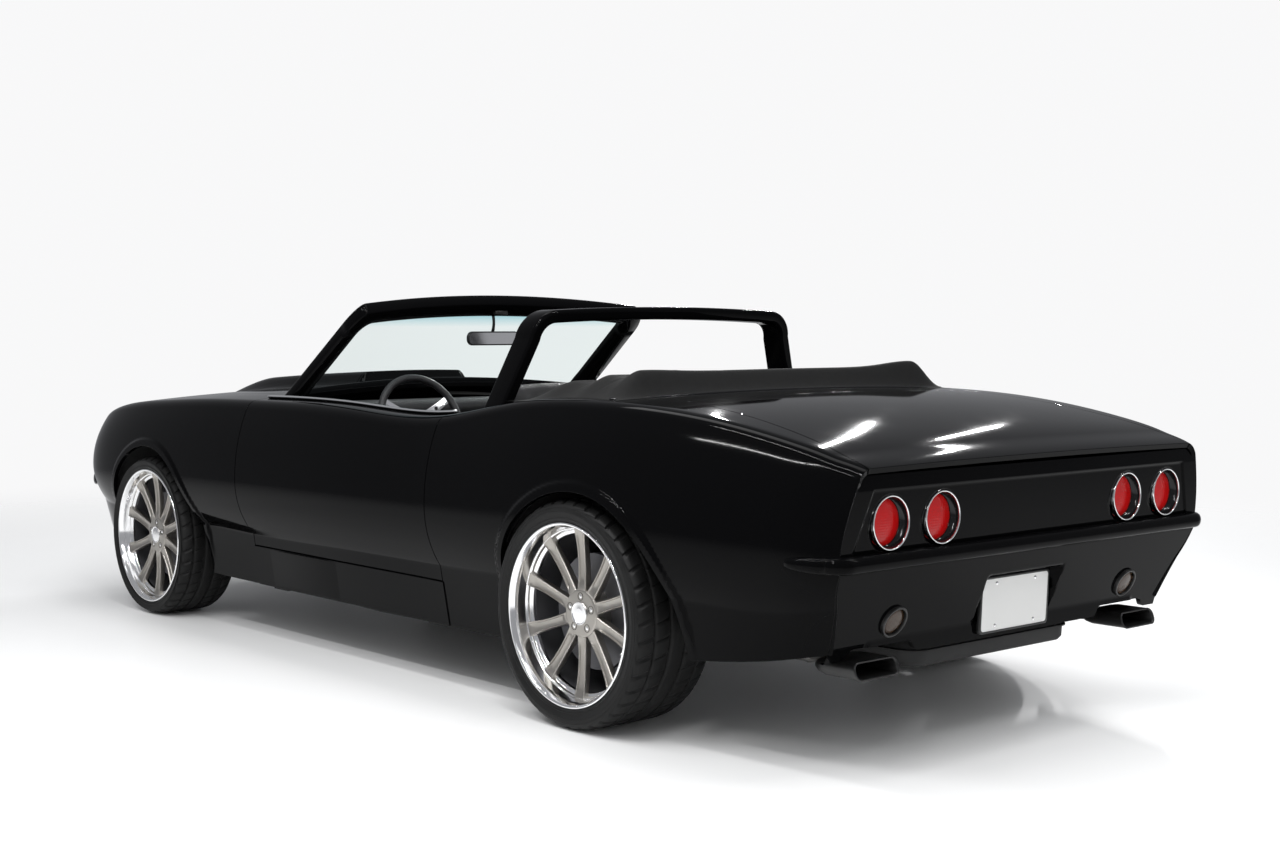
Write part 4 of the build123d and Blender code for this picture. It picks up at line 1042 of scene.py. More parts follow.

# Grille: level black bars of folded strip inside a rounded moulded surround, pushed into the nose
# from behind. A soot-black board behind them closes the view: painted shade in the opening.
grille_parts = []
rings = []
for x, grow in (
    (2.312, -0.001), (2.316, -0.004), (2.312, -0.007), (2.215, -0.010), (2.213, -0.001), (2.312, -0.001)
):
    rings.append(
        [
            (x - nose_bow(y) * (x > 2.25), y, GRILLE_Z + z)
            for y, z in rounded_rectangle(GRILLE_HALF + grow, 0.067 + grow, 0.054 + grow, steps=12)
        ]
    )
surround = coated(skinned("grille_surround", rings, close_ends=False), satin_black)
grille_parts.append(surround)
for k in range(8):
    z = GRILLE_Z - 0.052 + k * 0.0149
    section = [(-0.010, -0.003), (0.006, -0.003), (0.010, 0.0), (0.006, 0.003), (-0.010, 0.003)]
    bar = coated(
        skinned(
            "bar",
            [
                [(GRILLE_X + 0.02 + dx, y, z + dz) for dx, dz in section]
                for y in np.linspace(-0.632, 0.632, 3)
            ],
        ),
        satin_black,
    )
    grille_parts.append(auto_sharp(bar))
# Back board: a flat black sheet standing in for the shade behind the bars, painted shade.
back = coated(
    skinned(
        "back",
        [
            [(2.205, y, GRILLE_Z + z) for y, z in rounded_rectangle(0.628, 0.062, 0.05)],
            [(2.204, 0, GRILLE_Z)] * 36,
        ],
        close_ends=False,
    ),
    soot_and_painted_shade,
)
grille_parts.append(back)
place(joined("grille_set", grille_parts), "body", stands_for=["grille"])

# Headlamps: a polished steel bowl behind a clear fluted glass, held in the grille by a black ring.
# One stands at each end of the opening.
clear_glass, clear_tree, clear_shader = new_material("clear glass")
set_values(
    clear_shader,
    {"Base Color": (0.95, 0.97, 0.97, 1), "Roughness": 0.02, "Transmission Weight": 1.0, "IOR": 1.45},
)
flute_place = node(clear_tree, "ShaderNodeTexCoord")
flutes = node(
    clear_tree,
    "ShaderNodeTexWave",
    {"Vector": flute_place.outputs["Object"], "Scale": 35.0},
    bands_direction="Y",
)
flute_bump = node(
    clear_tree, "ShaderNodeBump", {"Height": flutes.outputs["Fac"], "Distance": 0.001, "Strength": 0.7}
)
clear_tree.links.new(flute_bump.outputs[0], clear_shader.inputs["Normal"])
head_parts = []
for side in (-1, 1):
    center = (2.236, side * 0.545, GRILLE_Z)
    bowl = coated(
        turned(
            "bowl",
            [(0.057, 0.004), (0.056, -0.004), (0.044, -0.03), (0.022, -0.05), (0.0002, -0.056)],
            center,
            segments=64,
        ),
        bright_metal,
    )
    ring = coated(
        turned(
            "ring",
            [(0.0600, -0.01), (0.0600, 0.006), (0.058, 0.0085), (0.0555, 0.007), (0.055, 0.002)],
            center,
            segments=64,
        ),
        satin_black,
    )
    glass = coated(
        turned(
            "glass",
            [(0.0555, 0.002), (0.048, 0.0055), (0.030, 0.009), (0.012, 0.0105), (0.0002, 0.0108)],
            center,
            segments=64,
        ),
        clear_glass,
    )
    head_parts += [bowl, ring, glass]
place(joined("headlamp_set", head_parts), "body", stands_for=["headlamps"], slot="lamp_glass")

# Air duct: a folded soot-black box behind the slot in the front valance. Its back closes the view
# into the car: painted shade in the opening.
duct_rings = []
for depth, grow in ((0.004, 0.0), (0.060, -0.006), (0.061, -0.034)):
    duct_rings.append(
        [
            (front_face_x(y, 0.395) - depth, y, 0.395 + z)
            for y, z in rounded_rectangle(0.366 + grow, 0.030 + grow * 0.8, 0.002, steps=2)
        ]
    )
place(skinned("front_duct", duct_rings), "body", soot_and_painted_shade)


# Front bumper: the same painted blade as at the rear, taller. It follows the bow of the nose and
# turns onto the fenders.
def front_bumper_plan():
    """From the left tip round the nose to the right tip."""
    left = [
        (float(x), float(half_width_at(FRONT_BUMPER_Z, x=float(x)))) for x in np.linspace(2.134, 2.225, 10)
    ]
    middle = [
        (front_face_x(part * 0.70, 0.540) - 0.010, part * 0.70) for part in np.linspace(0.93, -0.93, 70)
    ]
    return left + middle + [(x, -y) for x, y in reversed(left)]


front_bumper_rings = blade_rings(front_bumper_plan(), FRONT_BUMPER_Z, -1, 0.15, 9, deep=0.95, tall=1.38)
front_bumper = skinned("front_bumper_blade", front_bumper_rings)
place(auto_sharp(front_bumper, 60), "body", black_paint, stands_for=["front_bumper"], slot="paint")


# Windscreen: laminated glass, bonded in its frame. It is a ruled curved sheet between the cowl and
# the header, with a blue-green shade band at its top.
SCREEN_LOW, SCREEN_HIGH = (0.632, 0.735, 0.860, 0.120), (0.150, 0.690, 1.222, 0.075)


def screen_point(across, up, out=0.0):
    """A point on the windscreen sheet: across -1..1, up 0..1 from base to header."""
    spots = []
    for x, half, z, bow in (SCREEN_LOW, SCREEN_HIGH):
        rise = 0.040 if z > 1 else 0.0
        lift = 1 - across * across
        spots.append(np.array([x + bow * lift * (0.92 if z > 1 else 1), half * across, z + rise * lift]))
    spot = spots[0] + (spots[1] - spots[0]) * up
    lean = np.array([0.60, 0, 0.80])
    return spot + lean * out


def screen_sheet(name, outline, out, count=(80, 40)):
    """The part of the sheet inside an outline of lowest and highest height and half width."""
    verts, faces = [], []
    for u in np.linspace(0, 1, count[1]):
        low_up, high_up, half_at = outline
        for a in np.linspace(-1, 1, count[0]):
            up_low, up_high = low_up(a), high_up(a)
            up = up_low + (up_high - up_low) * u
            across = a * half_at(up)
            verts.append(screen_point(across, up, out))
    for i in range(count[1] - 1):
        for j in range(count[0] - 1):
            k = i * count[0] + j
            faces.append((k, k + 1, k + count[0] + 1, k + count[0]))
    return mesh_object(name, verts, faces)


screen_glass, screen_tree, _ = new_material("windscreen glass")
screen_place = node(screen_tree, "ShaderNodeTexCoord")
screen_split = node(screen_tree, "ShaderNodeSeparateXYZ", {0: screen_place.outputs["Object"]})
band = node(
    screen_tree,
    "ShaderNodeMapRange",
    {"Value": screen_split.outputs["Z"], "From Min": 1.170, "From Max": 1.215},
)
tint = node(
    screen_tree,
    "ShaderNodeMix",
    {"Factor": band.outputs[0], 6: (0.90, 0.965, 0.955, 1), 7: (0.42, 0.72, 0.78, 1)},
    data_type="RGBA",
)
clear = node(screen_tree, "ShaderNodeBsdfTransparent", {"Color": tint.outputs[2]})
gloss = node(screen_tree, "ShaderNodeBsdfGlossy", {"Roughness": 0.01})
facing = node(screen_tree, "ShaderNodeLayerWeight", {"Blend": 0.5})
grazing = node(screen_tree, "ShaderNodeMath", {0: facing.outputs["Facing"], 1: 5.0}, operation="POWER")
mirrored_part = node(
    screen_tree, "ShaderNodeMapRange", {"Value": grazing.outputs[0], "To Min": 0.05, "To Max": 0.8}
)
screen_mix = node(
    screen_tree,
    "ShaderNodeMixShader",
    {0: mirrored_part.outputs[0], 1: clear.outputs[0], 2: gloss.outputs[0]},
)
screen_tree.links.new(screen_mix.outputs[0], screen_tree.nodes["Material Output"].inputs["Surface"])
glass_outline = (lambda a: 0.145 + 0.075 * (1 - a * a), lambda a: 0.958, lambda up: 0.952)
glass = screen_sheet("windscreen_glass", glass_outline, 0.0)
place(glass, "body", screen_glass, stands_for=["windshield_glass"], slot="screen_glass")


# Frame: pillars, header and base rail as one welded, painted ring round the glass. Each ring of
# the mesh is its cross-section, carried round the opening's outline.
def opening_outline():
    """Points round the opening as (across, up), with rounded upper corners."""
    points = []
    low, high, side = 0.170, 0.935, 0.900
    for part in np.linspace(-1, 1, 50):
        points.append((side * part, low + 0.075 * (1 - part * part)))
    for up in np.linspace(low + 0.03, high - 0.10, 24):
        points.append((side, up))
    for turn in np.linspace(0, math.pi / 2, 10):
        points.append((side - 0.055 + 0.055 * math.cos(turn), high - 0.10 + 0.10 * math.sin(turn)))
    for part in np.linspace(0.92, -0.92, 50):
        points.append(((side - 0.055) * part / 0.94, high))
    for turn in np.linspace(math.pi / 2, math.pi, 10):
        points.append((-(side - 0.055) + 0.055 * math.cos(turn), high - 0.10 + 0.10 * math.sin(turn)))
    for up in np.linspace(high - 0.10, low + 0.03, 24):
        points.append((-side, up))
    return points


def outer_point(across, up):
    """Outer edge of the frame beside a point of the opening."""
    out_across = across + math.copysign(0.090, across) if abs(across) > 0.80 else across * 1.10
    out_up = up
    if up > 0.80:
        out_up = min(1.055, up + 0.120 * (up - 0.80) / 0.135)
    if up < 0.26:
        out_up = up - 0.17
    return (max(-1.0, min(1.0, out_across)), out_up)


opening = opening_outline()
frame_rings = []
for across, up in opening:
    edge = screen_point(across, up)
    far = screen_point(*outer_point(across, up))
    span_way = far - edge
    width = np.linalg.norm(span_way)
    span_way = span_way / max(width, 1e-6)
    out = np.array([0.60, 0, 0.80])
    ring = []
    for along, lift in (
        (0.004, -0.034), (0.000, 0.006), (0.004, 0.0115), (0.010, 0.014), (width * 0.5, 0.0165),
        (width - 0.010, 0.014), (width - 0.003, 0.010), (width, 0.004), (width, -0.030),
        (width - 0.006, -0.038), (0.012, -0.038),
    ):
        ring.append(edge + span_way * along + out * lift)
    frame_rings.append(ring)
frame_rings.append(frame_rings[0])
screen_frame = skinned("windscreen_frame", frame_rings, close_ends=False)
place(screen_frame, "body", black_paint, stands_for=["windshield_frame"], slot="paint")

# Roll hoop: a wide flat-sided hoop of painted steel behind the front seats, leaning back, its
# legs bolted to the floor. Its section is a rounded oblong carried round a rounded outline.
HOOP_LEAN = math.radians(11)


def hoop_place(y, z, depth):
    """A point at a height up the leaning hoop and a depth along the car."""
    up = z - 0.904
    return (-0.682 - math.tan(HOOP_LEAN) * up + depth, y, z)


def hoop_half(z):
    return float(np.interp(z, [0.345, 0.904, 1.222], [0.690, 0.690, 0.562]))


hoop_line = []
top_z, corner = 1.205, 0.075
for z in np.linspace(0.36, top_z - corner, 60):
    hoop_line.append((hoop_half(z) - 0.022, float(z)))
start_y = hoop_line[-1][0]
for turn in np.linspace(0.1, 1, 12):
    angle = turn * math.pi / 2
    hoop_line.append(
        (
            start_y - corner + corner * math.cos(angle) - 0.010 * turn,
            top_z - corner + corner * math.sin(angle),
        )
    )
end_y = hoop_line[-1][0]
for part in np.linspace(0.94, 0, 40):
    hoop_line.append((end_y * part, top_z + 0.012 * (1 - part * part)))
hoop_line += [(-y, z) for y, z in reversed(hoop_line[:-1])]
hoop_rings = []
for i, (y, z) in enumerate(hoop_line):
    before, after = hoop_line[max(i - 1, 0)], hoop_line[min(i + 1, len(hoop_line) - 1)]
    run = np.array([after[0] - before[0], after[1] - before[1]])
    run /= np.linalg.norm(run)
    out = np.array([run[1], -run[0]])
    ring = []
    for o, d in rounded_rectangle(0.0215, 0.049, 0.012, steps=6):
        ring.append(hoop_place(y + out[0] * o, z + out[1] * o, d))
    hoop_rings.append(ring)
roll_hoop = skinned("roll_hoop_tube", hoop_rings)
place(roll_hoop, "body", black_paint, stands_for=["roll_hoop"], slot="paint")

# Mirror: a wide shallow mirror in a black moulded shell, on a bent stem screwed to the header. The
# small latch bracket of the soft top sits above it.
rings = []
for out, grow in (
    (-0.016, -0.020), (-0.014, -0.006), (-0.006, 0.0), (0.004, 0.0), (0.0065, -0.0025), (0.0060, -0.005)
):
    rings.append(
        [(0.236 - out, y, 1.125 + z) for y, z in rounded_rectangle(0.124 + grow, 0.027 + grow, 0.024 + grow)]
    )
shell = coated(skinned("mirror_shell", rings, close_ends=False), satin_black)
face = coated(
    skinned(
        "mirror_face",
        [[(0.2300, y, z) for _, y, z in rings[-1]], [(0.2301, 0, 1.125)] * len(rings[-1])],
        close_ends=False,
    ),
    bright_metal,
)
back_cap = coated(
    skinned("mirror_back", [rings[0], [(0.2535, 0, 1.125)] * len(rings[0])], close_ends=False), satin_black
)
stem_rings = []
for part in np.linspace(0, 1, 12):
    bend = math.sin(part * math.pi)
    x, z, radius = 0.246 - 0.012 * bend, 1.138 + 0.098 * part, 0.0075 - 0.002 * bend
    stem_rings.append(
        [(x + radius * math.cos(a), radius * math.sin(a), z) for a in np.linspace(0, 2 * math.pi, 17)[:-1]]
    )
stem = coated(skinned("mirror_stem", stem_rings), satin_black)
latch_rings = []
for y, half_x, half_z in (
    (-0.030, 0.006, 0.004), (-0.027, 0.011, 0.008), (0.027, 0.011, 0.008), (0.030, 0.006, 0.004)
):
    latch_rings.append([(0.190 + a, y, 1.224 + b) for a, b in rounded_rectangle(half_x, half_z, 0.003)])
latch = coated(skinned("header_latch", latch_rings), satin_black)
place(joined("mirror_set", [shell, face, back_cap, stem, latch]), "body", stands_for=["rear_view_mirror"])


# Wheels: every piece is turned or laid out about the wheel's own axis, then moved to its axle.
# Left wheels face +Y; right wheels are mirrored.
SPOKES = 10
LIP_R = 0.2713


def around(points, center, side):
    """Local wheel points (radius way x, out, up) to car points."""
    return [(center[0] + p[0], side * (center[1] + p[1]), center[2] + p[2]) for p in points]


def wheel_ring(name, profile, center, side, segments=160, smooth=True):
    """Revolves (radius, out) pairs about the wheel's axis."""
    verts = []
    for k in range(segments):
        turn = 2 * math.pi * k / segments
        verts += around([(r * math.cos(turn), out, r * math.sin(turn)) for r, out in profile], center, side)
    return mesh_object(name, verts, revolved_faces(segments, len(profile), side > 0), smooth=smooth)


def rounded_line(points, radius=0.0012, steps=3):
    """A polyline with each inner corner rounded."""
    line = [points[0]]
    for before, here, after in zip(points, points[1:], points[2:]):
        here = np.array(here)
        back, on = np.array(before) - here, np.array(after) - here
        reach = min(radius, np.linalg.norm(back) * 0.45, np.linalg.norm(on) * 0.45)
        start = here + back / max(np.linalg.norm(back), 1e-9) * reach
        end = here + on / max(np.linalg.norm(on), 1e-9) * reach
        for k in range(steps + 1):
            f = k / steps
            line.append(tuple(start * (1 - f) ** 2 + here * 2 * f * (1 - f) + end * f**2))
    line.append(points[-1])
    return line


cast_metal = hard_material("cast metal", (0.14, 0.14, 0.15), 0.7, 0.45, dust=0.4)

# Tyres: low moulded rubber with rim guards, rings on the walls and a grooved tread. The rubber is
# dull, finely grained and a little worn.
def grey(tree, tone):
    """A grey as light as a value."""
    return node(tree, "ShaderNodeCombineColor", {i: tone.outputs[0] for i in range(3)})


tyre_rubber, tyre_tree, tyre_shader = new_material("tyre rubber")
tyre_place = node(tyre_tree, "ShaderNodeTexCoord")
tyre_grain = noise(tyre_tree, tyre_place, 420.0, 3.0)
tyre_wear = noise(tyre_tree, tyre_place, 14.0, 5.0)
tyre_tone = spread(tyre_tree, tyre_wear.outputs["Fac"], 0.3, 0.7, 0.005, 0.010)
tyre_color = grey(tyre_tree, tyre_tone)
tyre_rough = spread(tyre_tree, tyre_wear.outputs["Fac"], 0.3, 0.7, 0.48, 0.66)
tyre_bump = node(
    tyre_tree, "ShaderNodeBump", {"Height": tyre_grain.outputs["Fac"], "Distance": 0.0002, "Strength": 0.5}
)
tyre_shader.inputs["Specular IOR Level"].default_value = 0.22
tyre_tree.links.new(tyre_color.outputs[0], tyre_shader.inputs["Base Color"])
tyre_tree.links.new(tyre_rough.outputs[0], tyre_shader.inputs["Roughness"])
tyre_tree.links.new(tyre_bump.outputs[0], tyre_shader.inputs["Normal"])

# Spokes and hub: cast metal with a satin nickel finish, warm in tone, with a fine even grain. They
# carry the polished lip and barrel.
spoke_metal, spoke_tree, spoke_shader = new_material("satin nickel spokes")
spoke_place = node(spoke_tree, "ShaderNodeTexCoord")
spoke_grain = noise(spoke_tree, spoke_place, 700.0, 2.0)
spoke_bump = node(
    spoke_tree, "ShaderNodeBump", {"Height": spoke_grain.outputs["Fac"], "Distance": 0.00005, "Strength": 0.4}
)
spoke_tree.links.new(spoke_bump.outputs[0], spoke_shader.inputs["Normal"])
set_values(spoke_shader, {"Base Color": (0.40, 0.38, 0.35, 1), "Metallic": 1.0, "Roughness": 0.36})


def tyre_mesh(name, center, side, radius, width, face_out):
    """A low tyre: moulded walls with rim guard and rings, square shoulders, grooved tread."""
    segments, out, inner = 360, face_out + 0.005, face_out + 0.005 - width
    half = width / 2
    middle = (out + inner) / 2
    r0 = LIP_R + 0.0006
    wall = [
        (r0 - 0.004, half - 0.0146), (r0 + 0.001, half - 0.0085), (r0 + 0.006, half - 0.0035),
        (r0 + 0.010, half - 0.0022), (r0 + 0.0125, half - 0.0040), (r0 + 0.016, half - 0.0036),
        (r0 + 0.022, half - 0.0014), (r0 + 0.030, half - 0.0002), (r0 + 0.0305, half - 0.0008),
        (r0 + 0.0315, half - 0.0008), (r0 + 0.032, half - 0.0002), (radius - 0.024, half - 0.0016),
        (radius - 0.0235, half - 0.0024), (radius - 0.0225, half - 0.0026), (radius - 0.022, half - 0.0020),
        (radius - 0.0160, half - 0.0042), (radius - 0.0110, half - 0.0078), (radius - 0.0065, half - 0.0140),
        (radius - 0.0035, half - 0.0210), (radius - 0.0016, half - 0.0300),
    ]
    last = half - 0.0300
    half_groove = 0.0056
    cuts = []
    for share in (0.30, 0.10, -0.10, -0.30):
        place_y = share * width
        cuts += [
            (radius - 0.0003, place_y + half_groove + 0.0012), (radius - 0.0012, place_y + half_groove),
            (radius - 0.0072, place_y + half_groove * 0.55), (radius - 0.0072, place_y - half_groove * 0.55),
            (radius - 0.0012, place_y - half_groove), (radius - 0.0003, place_y - half_groove - 0.0012),
        ]
        cuts.append((radius, place_y - half_groove - 0.010))
    tread = [(radius - 0.0006, last - 0.008), *cuts[:-1], (radius - 0.0006, -last + 0.008)]
    profile = wall + tread + [(r, -y) for r, y in reversed(wall)]
    count = len(profile)
    verts = []
    first_tread, last_tread = 15, count - 16
    for k in range(segments):
        for i, (r, y) in enumerate(profile):
            bend = 0.0
            deep = 0.0
            if first_tread < i < last_tread:
                from_middle = abs(y) / half
                bend = 0.045 * from_middle**1.5 / radius * math.copysign(1, y)
                if from_middle > 0.62:
                    if k % 9 < 2:
                        deep = 0.0056 * min(1.0, (from_middle - 0.62) / 0.04)
                elif 0.22 < from_middle < 0.60 and (k % 9) == (4 if y > 0 else 7):
                    deep = 0.0040
            turn = 2 * math.pi * k / segments + bend
            rr = r - deep
            verts += around([(rr * math.cos(turn), middle + y, rr * math.sin(turn))], center, side)
    return auto_sharp(mesh_object(name, verts, revolved_faces(segments, count, side > 0)), 38)


def spoke_mesh(center, side, turn, dish):
    """One fluted spoke: broad flat sides, a raised edge each side of a long shallow channel."""
    verts = []
    rings = 26
    for i in range(rings):
        f = i / (rings - 1)
        r = 0.060 + (0.250 - 0.060) * f
        half = 0.0196 - 0.0034 * math.sin(
            math.pi * min(1, f * 1.15)
        ) ** 0.7 + 0.0030 * max(0, f - 0.82) / 0.18
        rise = -dish + 0.004 + 0.010 * f * f - 0.004 * math.sin(math.pi * f)
        thick = 0.024 - 0.006 * f
        channel = 0.0055 * float(smooth_step(f, 0.10, 0.20)) * (1 - float(smooth_step(f, 0.86, 0.97)))
        section = [
            (-half, rise - thick), (-half, rise - 0.004), (-half + 0.0008, rise - 0.0014),
            (-half + 0.0026, rise), (-half + 0.0046, rise - 0.0006),
            (-half + 0.0062, rise - channel * 0.75 - 0.0006), (-0.25 * half, rise - channel - 0.0006),
            (0.25 * half, rise - channel - 0.0006), (half - 0.0062, rise - channel * 0.75 - 0.0006),
            (half - 0.0046, rise - 0.0006), (half - 0.0026, rise), (half - 0.0008, rise - 0.0014),
            (half, rise - 0.004), (half, rise - thick), (half - 0.004, rise - thick - 0.003),
            (-half + 0.004, rise - thick - 0.003),
        ]
        c, s = math.cos(turn), math.sin(turn)
        verts.append([(r * c - w * s, out, r * s + w * c) for w, out in section])
    return skinned("spoke", [around(ring, center, side) for ring in verts])


def wheel_set(name, x, radius, face, dish, width, side):
    """All pieces of one rim, joined into one object."""
    center = (x, face, radius)
    lip_profile = [
        (LIP_R - 0.0155, -0.030), (LIP_R - 0.0140, -0.0165), (LIP_R - 0.0105, -0.0040),
        (LIP_R - 0.0080, -0.0010), (LIP_R - 0.0045, 0.0), (LIP_R - 0.0015, -0.0006), (LIP_R, -0.0030),
        (LIP_R, -0.0090),
    ]
    outer = [
        (0.2330, -dish - 0.012), (0.2335, -dish - 0.002), (0.2350, -dish + 0.001), (0.2430, -dish + 0.0025),
        (0.2445, -dish + 0.004), (0.2455, -dish + 0.008), (0.2470, -dish + 0.012), (0.2500, -dish + 0.0135),
        (0.2512, -dish + 0.016), (0.2535, -0.024), (0.2545, -0.020), (0.2558, -0.0150),
    ]
    lip = coated(
        wheel_ring("lip", rounded_line(outer + lip_profile[2:], 0.0008), center, side, segments=220),
        bright_metal,
    )
    barrel_back = face + 0.005 - width
    barrel = wheel_ring(
        "barrel",
        [
            (0.2335, -dish - 0.010), (0.240, -dish - 0.030), (0.246, barrel_back - face + 0.012),
            (0.266, barrel_back - face + 0.007), (0.270, barrel_back - face + 0.007),
        ],
        center,
        side,
        segments=120,
    )
    barrel.data.materials.append(cast_metal)
    hub_profile = [
        (0.074, -dish - 0.072), (0.074, -dish - 0.026), (0.0730, -dish - 0.002), (0.0705, -dish + 0.004),
        (0.066, -dish + 0.006), (0.0360, -dish + 0.006), (0.0345, -dish + 0.0065),
    ]
    hub = coated(wheel_ring("hub", rounded_line(hub_profile, 0.001), center, side, segments=120), spoke_metal)
    cap_profile = [
        (0.0345, -dish + 0.004), (0.0340, -dish + 0.0120), (0.0330, -dish + 0.0135),
        (0.0315, -dish + 0.0135), (0.0300, -dish + 0.0120), (0.0290, -dish + 0.0115),
        (0.0150, -dish + 0.0128), (0.0001, -dish + 0.0132),
    ]
    cap = coated(
        wheel_ring("cap", rounded_line(cap_profile, 0.0006), center, side, segments=96), bright_metal
    )
    pieces = [lip, barrel, hub, cap]
    for k in range(SPOKES):
        spoke = spoke_mesh(center, side, 2 * math.pi * (k + 0.5) / SPOKES, dish)
        auto_sharp(spoke, 40)
        spoke.data.materials.append(spoke_metal)
        pieces.append(spoke)
    # Lug nuts, each in a pocket lined with the soot black: painted shade in the recess round the nut.
    for k in range(5):
        turn = 2 * math.pi * k / 5 + math.pi / 2
        at = (0.0500 * math.cos(turn), 0.0500 * math.sin(turn))
        spot = (center[0] + at[0], center[1], center[2] + at[1])
        pocket = wheel_ring(
            "pocket",
            [
                (0.0122, -dish + 0.0055), (0.0118, -dish + 0.0068), (0.0108, -dish + 0.0068),
                (0.0104, -dish + 0.005), (0.0102, -dish - 0.012), (0.0001, -dish - 0.012),
            ],
            spot,
            side,
            segments=32,
        )
        pocket.data.materials.append(soot_and_painted_shade)
        nut = coated(
            wheel_ring(
                "nut",
                [
                    (0.0080, -dish - 0.010), (0.0080, -dish + 0.004), (0.0060, -dish + 0.006),
                    (0.0001, -dish + 0.0068),
                ],
                spot,
                side,
                segments=6,
                smooth=False,
            ),
            bright_metal,
        )
        pieces += [pocket, nut]
    rotor = wheel_ring(
        "rotor",
        [(0.070, -dish - 0.050), (0.172, -dish - 0.050), (0.172, -dish - 0.075), (0.070, -dish - 0.075)],
        center,
        side,
        segments=120,
    )
    rotor.data.materials.append(cast_metal)
    auto_sharp(rotor)
    turn = math.radians(200)
    valve = turned(
        "valve",
        [(0.0042, 0.0), (0.0042, 0.016), (0.0032, 0.018), (0.0030, 0.028), (0.0020, 0.030), (0.0001, 0.030)],
        (0, 0, 0),
        axis=1,
        segments=16,
    )
    place_valve = Matrix.Translation(
        (center[0] + 0.243 * math.cos(turn), side * (face - 0.028 - 0.02), radius + 0.243 * math.sin(turn))
    )
    valve.data.transform(place_valve @ Matrix.Rotation(0 if side > 0 else math.pi, 4, "X"))
    valve.data.materials.append(bright_metal)
    pieces += [rotor, valve]
    return joined(name, pieces)


FRONT_AXLE, REAR_AXLE = 1.415, -1.331
WHEELS = (("front", FRONT_AXLE, 0.320, 0.884, 0.048, 0.246), ("rear", REAR_AXLE, 0.336, 0.912, 0.066, 0.294))
for end, x, radius, face, dish, width in WHEELS:
    for side_name, side in (("left", 1), ("right", -1)):
        body = f"wheel_{end}_{side_name}"
        wheel = wheel_set(body, x, radius, face, dish, width, side)
        place(wheel, body, stands_for=[f"rim_{end}_{side_name}"], slot="nickel")
        tyre = tyre_mesh(f"tyre_{end}_{side_name}_tread", (x, 0.0, radius), side, radius, width, face)
        place(tyre, body, tyre_rubber, stands_for=[f"tyre_{end}_{side_name}"], slot="tyre")


# Boot cloth: matte black woven canvas, sewn in one piece, with some lint in the weave. It gives
# almost no sheen.
canvas, canvas_tree, canvas_shader = new_material("black canvas")
canvas_place = node(canvas_tree, "ShaderNodeTexCoord")
weave_x = node(
    canvas_tree,
    "ShaderNodeTexWave",
    {"Vector": canvas_place.outputs["Object"], "Scale": 260.0},
    bands_direction="X",
)
weave_y = node(
    canvas_tree,
    "ShaderNodeTexWave",
    {"Vector": canvas_place.outputs["Object"], "Scale": 260.0},
    bands_direction="Y",
)
weave = node(
    canvas_tree,
    "ShaderNodeMath",
    {0: weave_x.outputs["Fac"], 1: weave_y.outputs["Fac"]},
    operation="MULTIPLY",
)
lint = noise(canvas_tree, canvas_place, 60.0, 8.0)
canvas_tone = spread(canvas_tree, lint.outputs["Fac"], 0.35, 0.75, 0.0016, 0.0034)
canvas_color = grey(canvas_tree, canvas_tone)
canvas_bump = node(
    canvas_tree, "ShaderNodeBump", {"Height": weave.outputs[0], "Distance": 0.0003, "Strength": 0.5}
)
canvas_tree.links.new(canvas_color.outputs[0], canvas_shader.inputs["Base Color"])
canvas_tree.links.new(canvas_bump.outputs[0], canvas_shader.inputs["Normal"])
set_values(canvas_shader, {"Roughness": 0.82, "Sheen Weight": 0.02, "Specular IOR Level": 0.25})

# Boot cover: cloth pulled over the folded top, snapped down round its edge. It is tight over the
# folded bows, so the middle sags between them. Each rear corner stands up in a soft peak, the
# right one higher than the left.
BOOT_FRONT, BOOT_REAR, BOOT_HALF = -0.800, -1.400, 0.766
BOOT_BOWS = ((0.016, 0.30, 0.10), (0.020, 0.62, 0.10), (0.022, 0.88, 0.07))


def boot_half(along):
    """Half the width of the cover at a share of its length."""
    return 0.722 + (BOOT_HALF - 0.722) * float(smooth_step(along, 0.30, 0.85))


def boot_height(x, y):
    """Height of the cloth: hem level, a roll over the bows, sag in the middle, peaks at the rear corners."""
    along = (x - BOOT_FRONT) / (BOOT_REAR - BOOT_FRONT)
    side = min(1.0, abs(y) / boot_half(along))
    hem = 0.936 + 0.022 * along + 0.016 * along * (1 - side * side)
    roll = float(smooth_step(along, 0.0, 0.22)) * (1 - float(smooth_step(along, 0.90, 1.0)))
    body = 0.036 + 0.020 * along
    bow = sum(high * math.exp(-(((along - at) / wide) ** 2)) for high, at, wide in BOOT_BOWS)
    edge = 1 - float(smooth_step(side, 0.80, 1.0))
    peak = (0.009 if y > 0 else 0.020) * math.exp(
        -(((side - 0.80) / 0.22) ** 2)
    ) * float(smooth_step(along, 0.30, 0.86))
    sag = -0.008 * math.cos(side * math.pi / 2) * float(smooth_step(along, 0.2, 0.6))
    return hem + (body + bow + peak + sag) * roll * edge


folds = random.Random(7)
creases = []
for _ in range(26):
    cx, cy = folds.uniform(-1.34, -0.86), folds.uniform(-0.66, 0.66)
    turn = folds.gauss(0, 0.35) + (math.pi / 2 if abs(cy) < 0.45 else folds.choice((0.6, -0.6, 1.2)))
    creases.append(
        (
            cx,
            cy,
            math.cos(turn),
            math.sin(turn),
            folds.uniform(0.05, 0.20),
            folds.uniform(0.006, 0.014),
            folds.uniform(-0.0035, 0.0035),
        )
    )

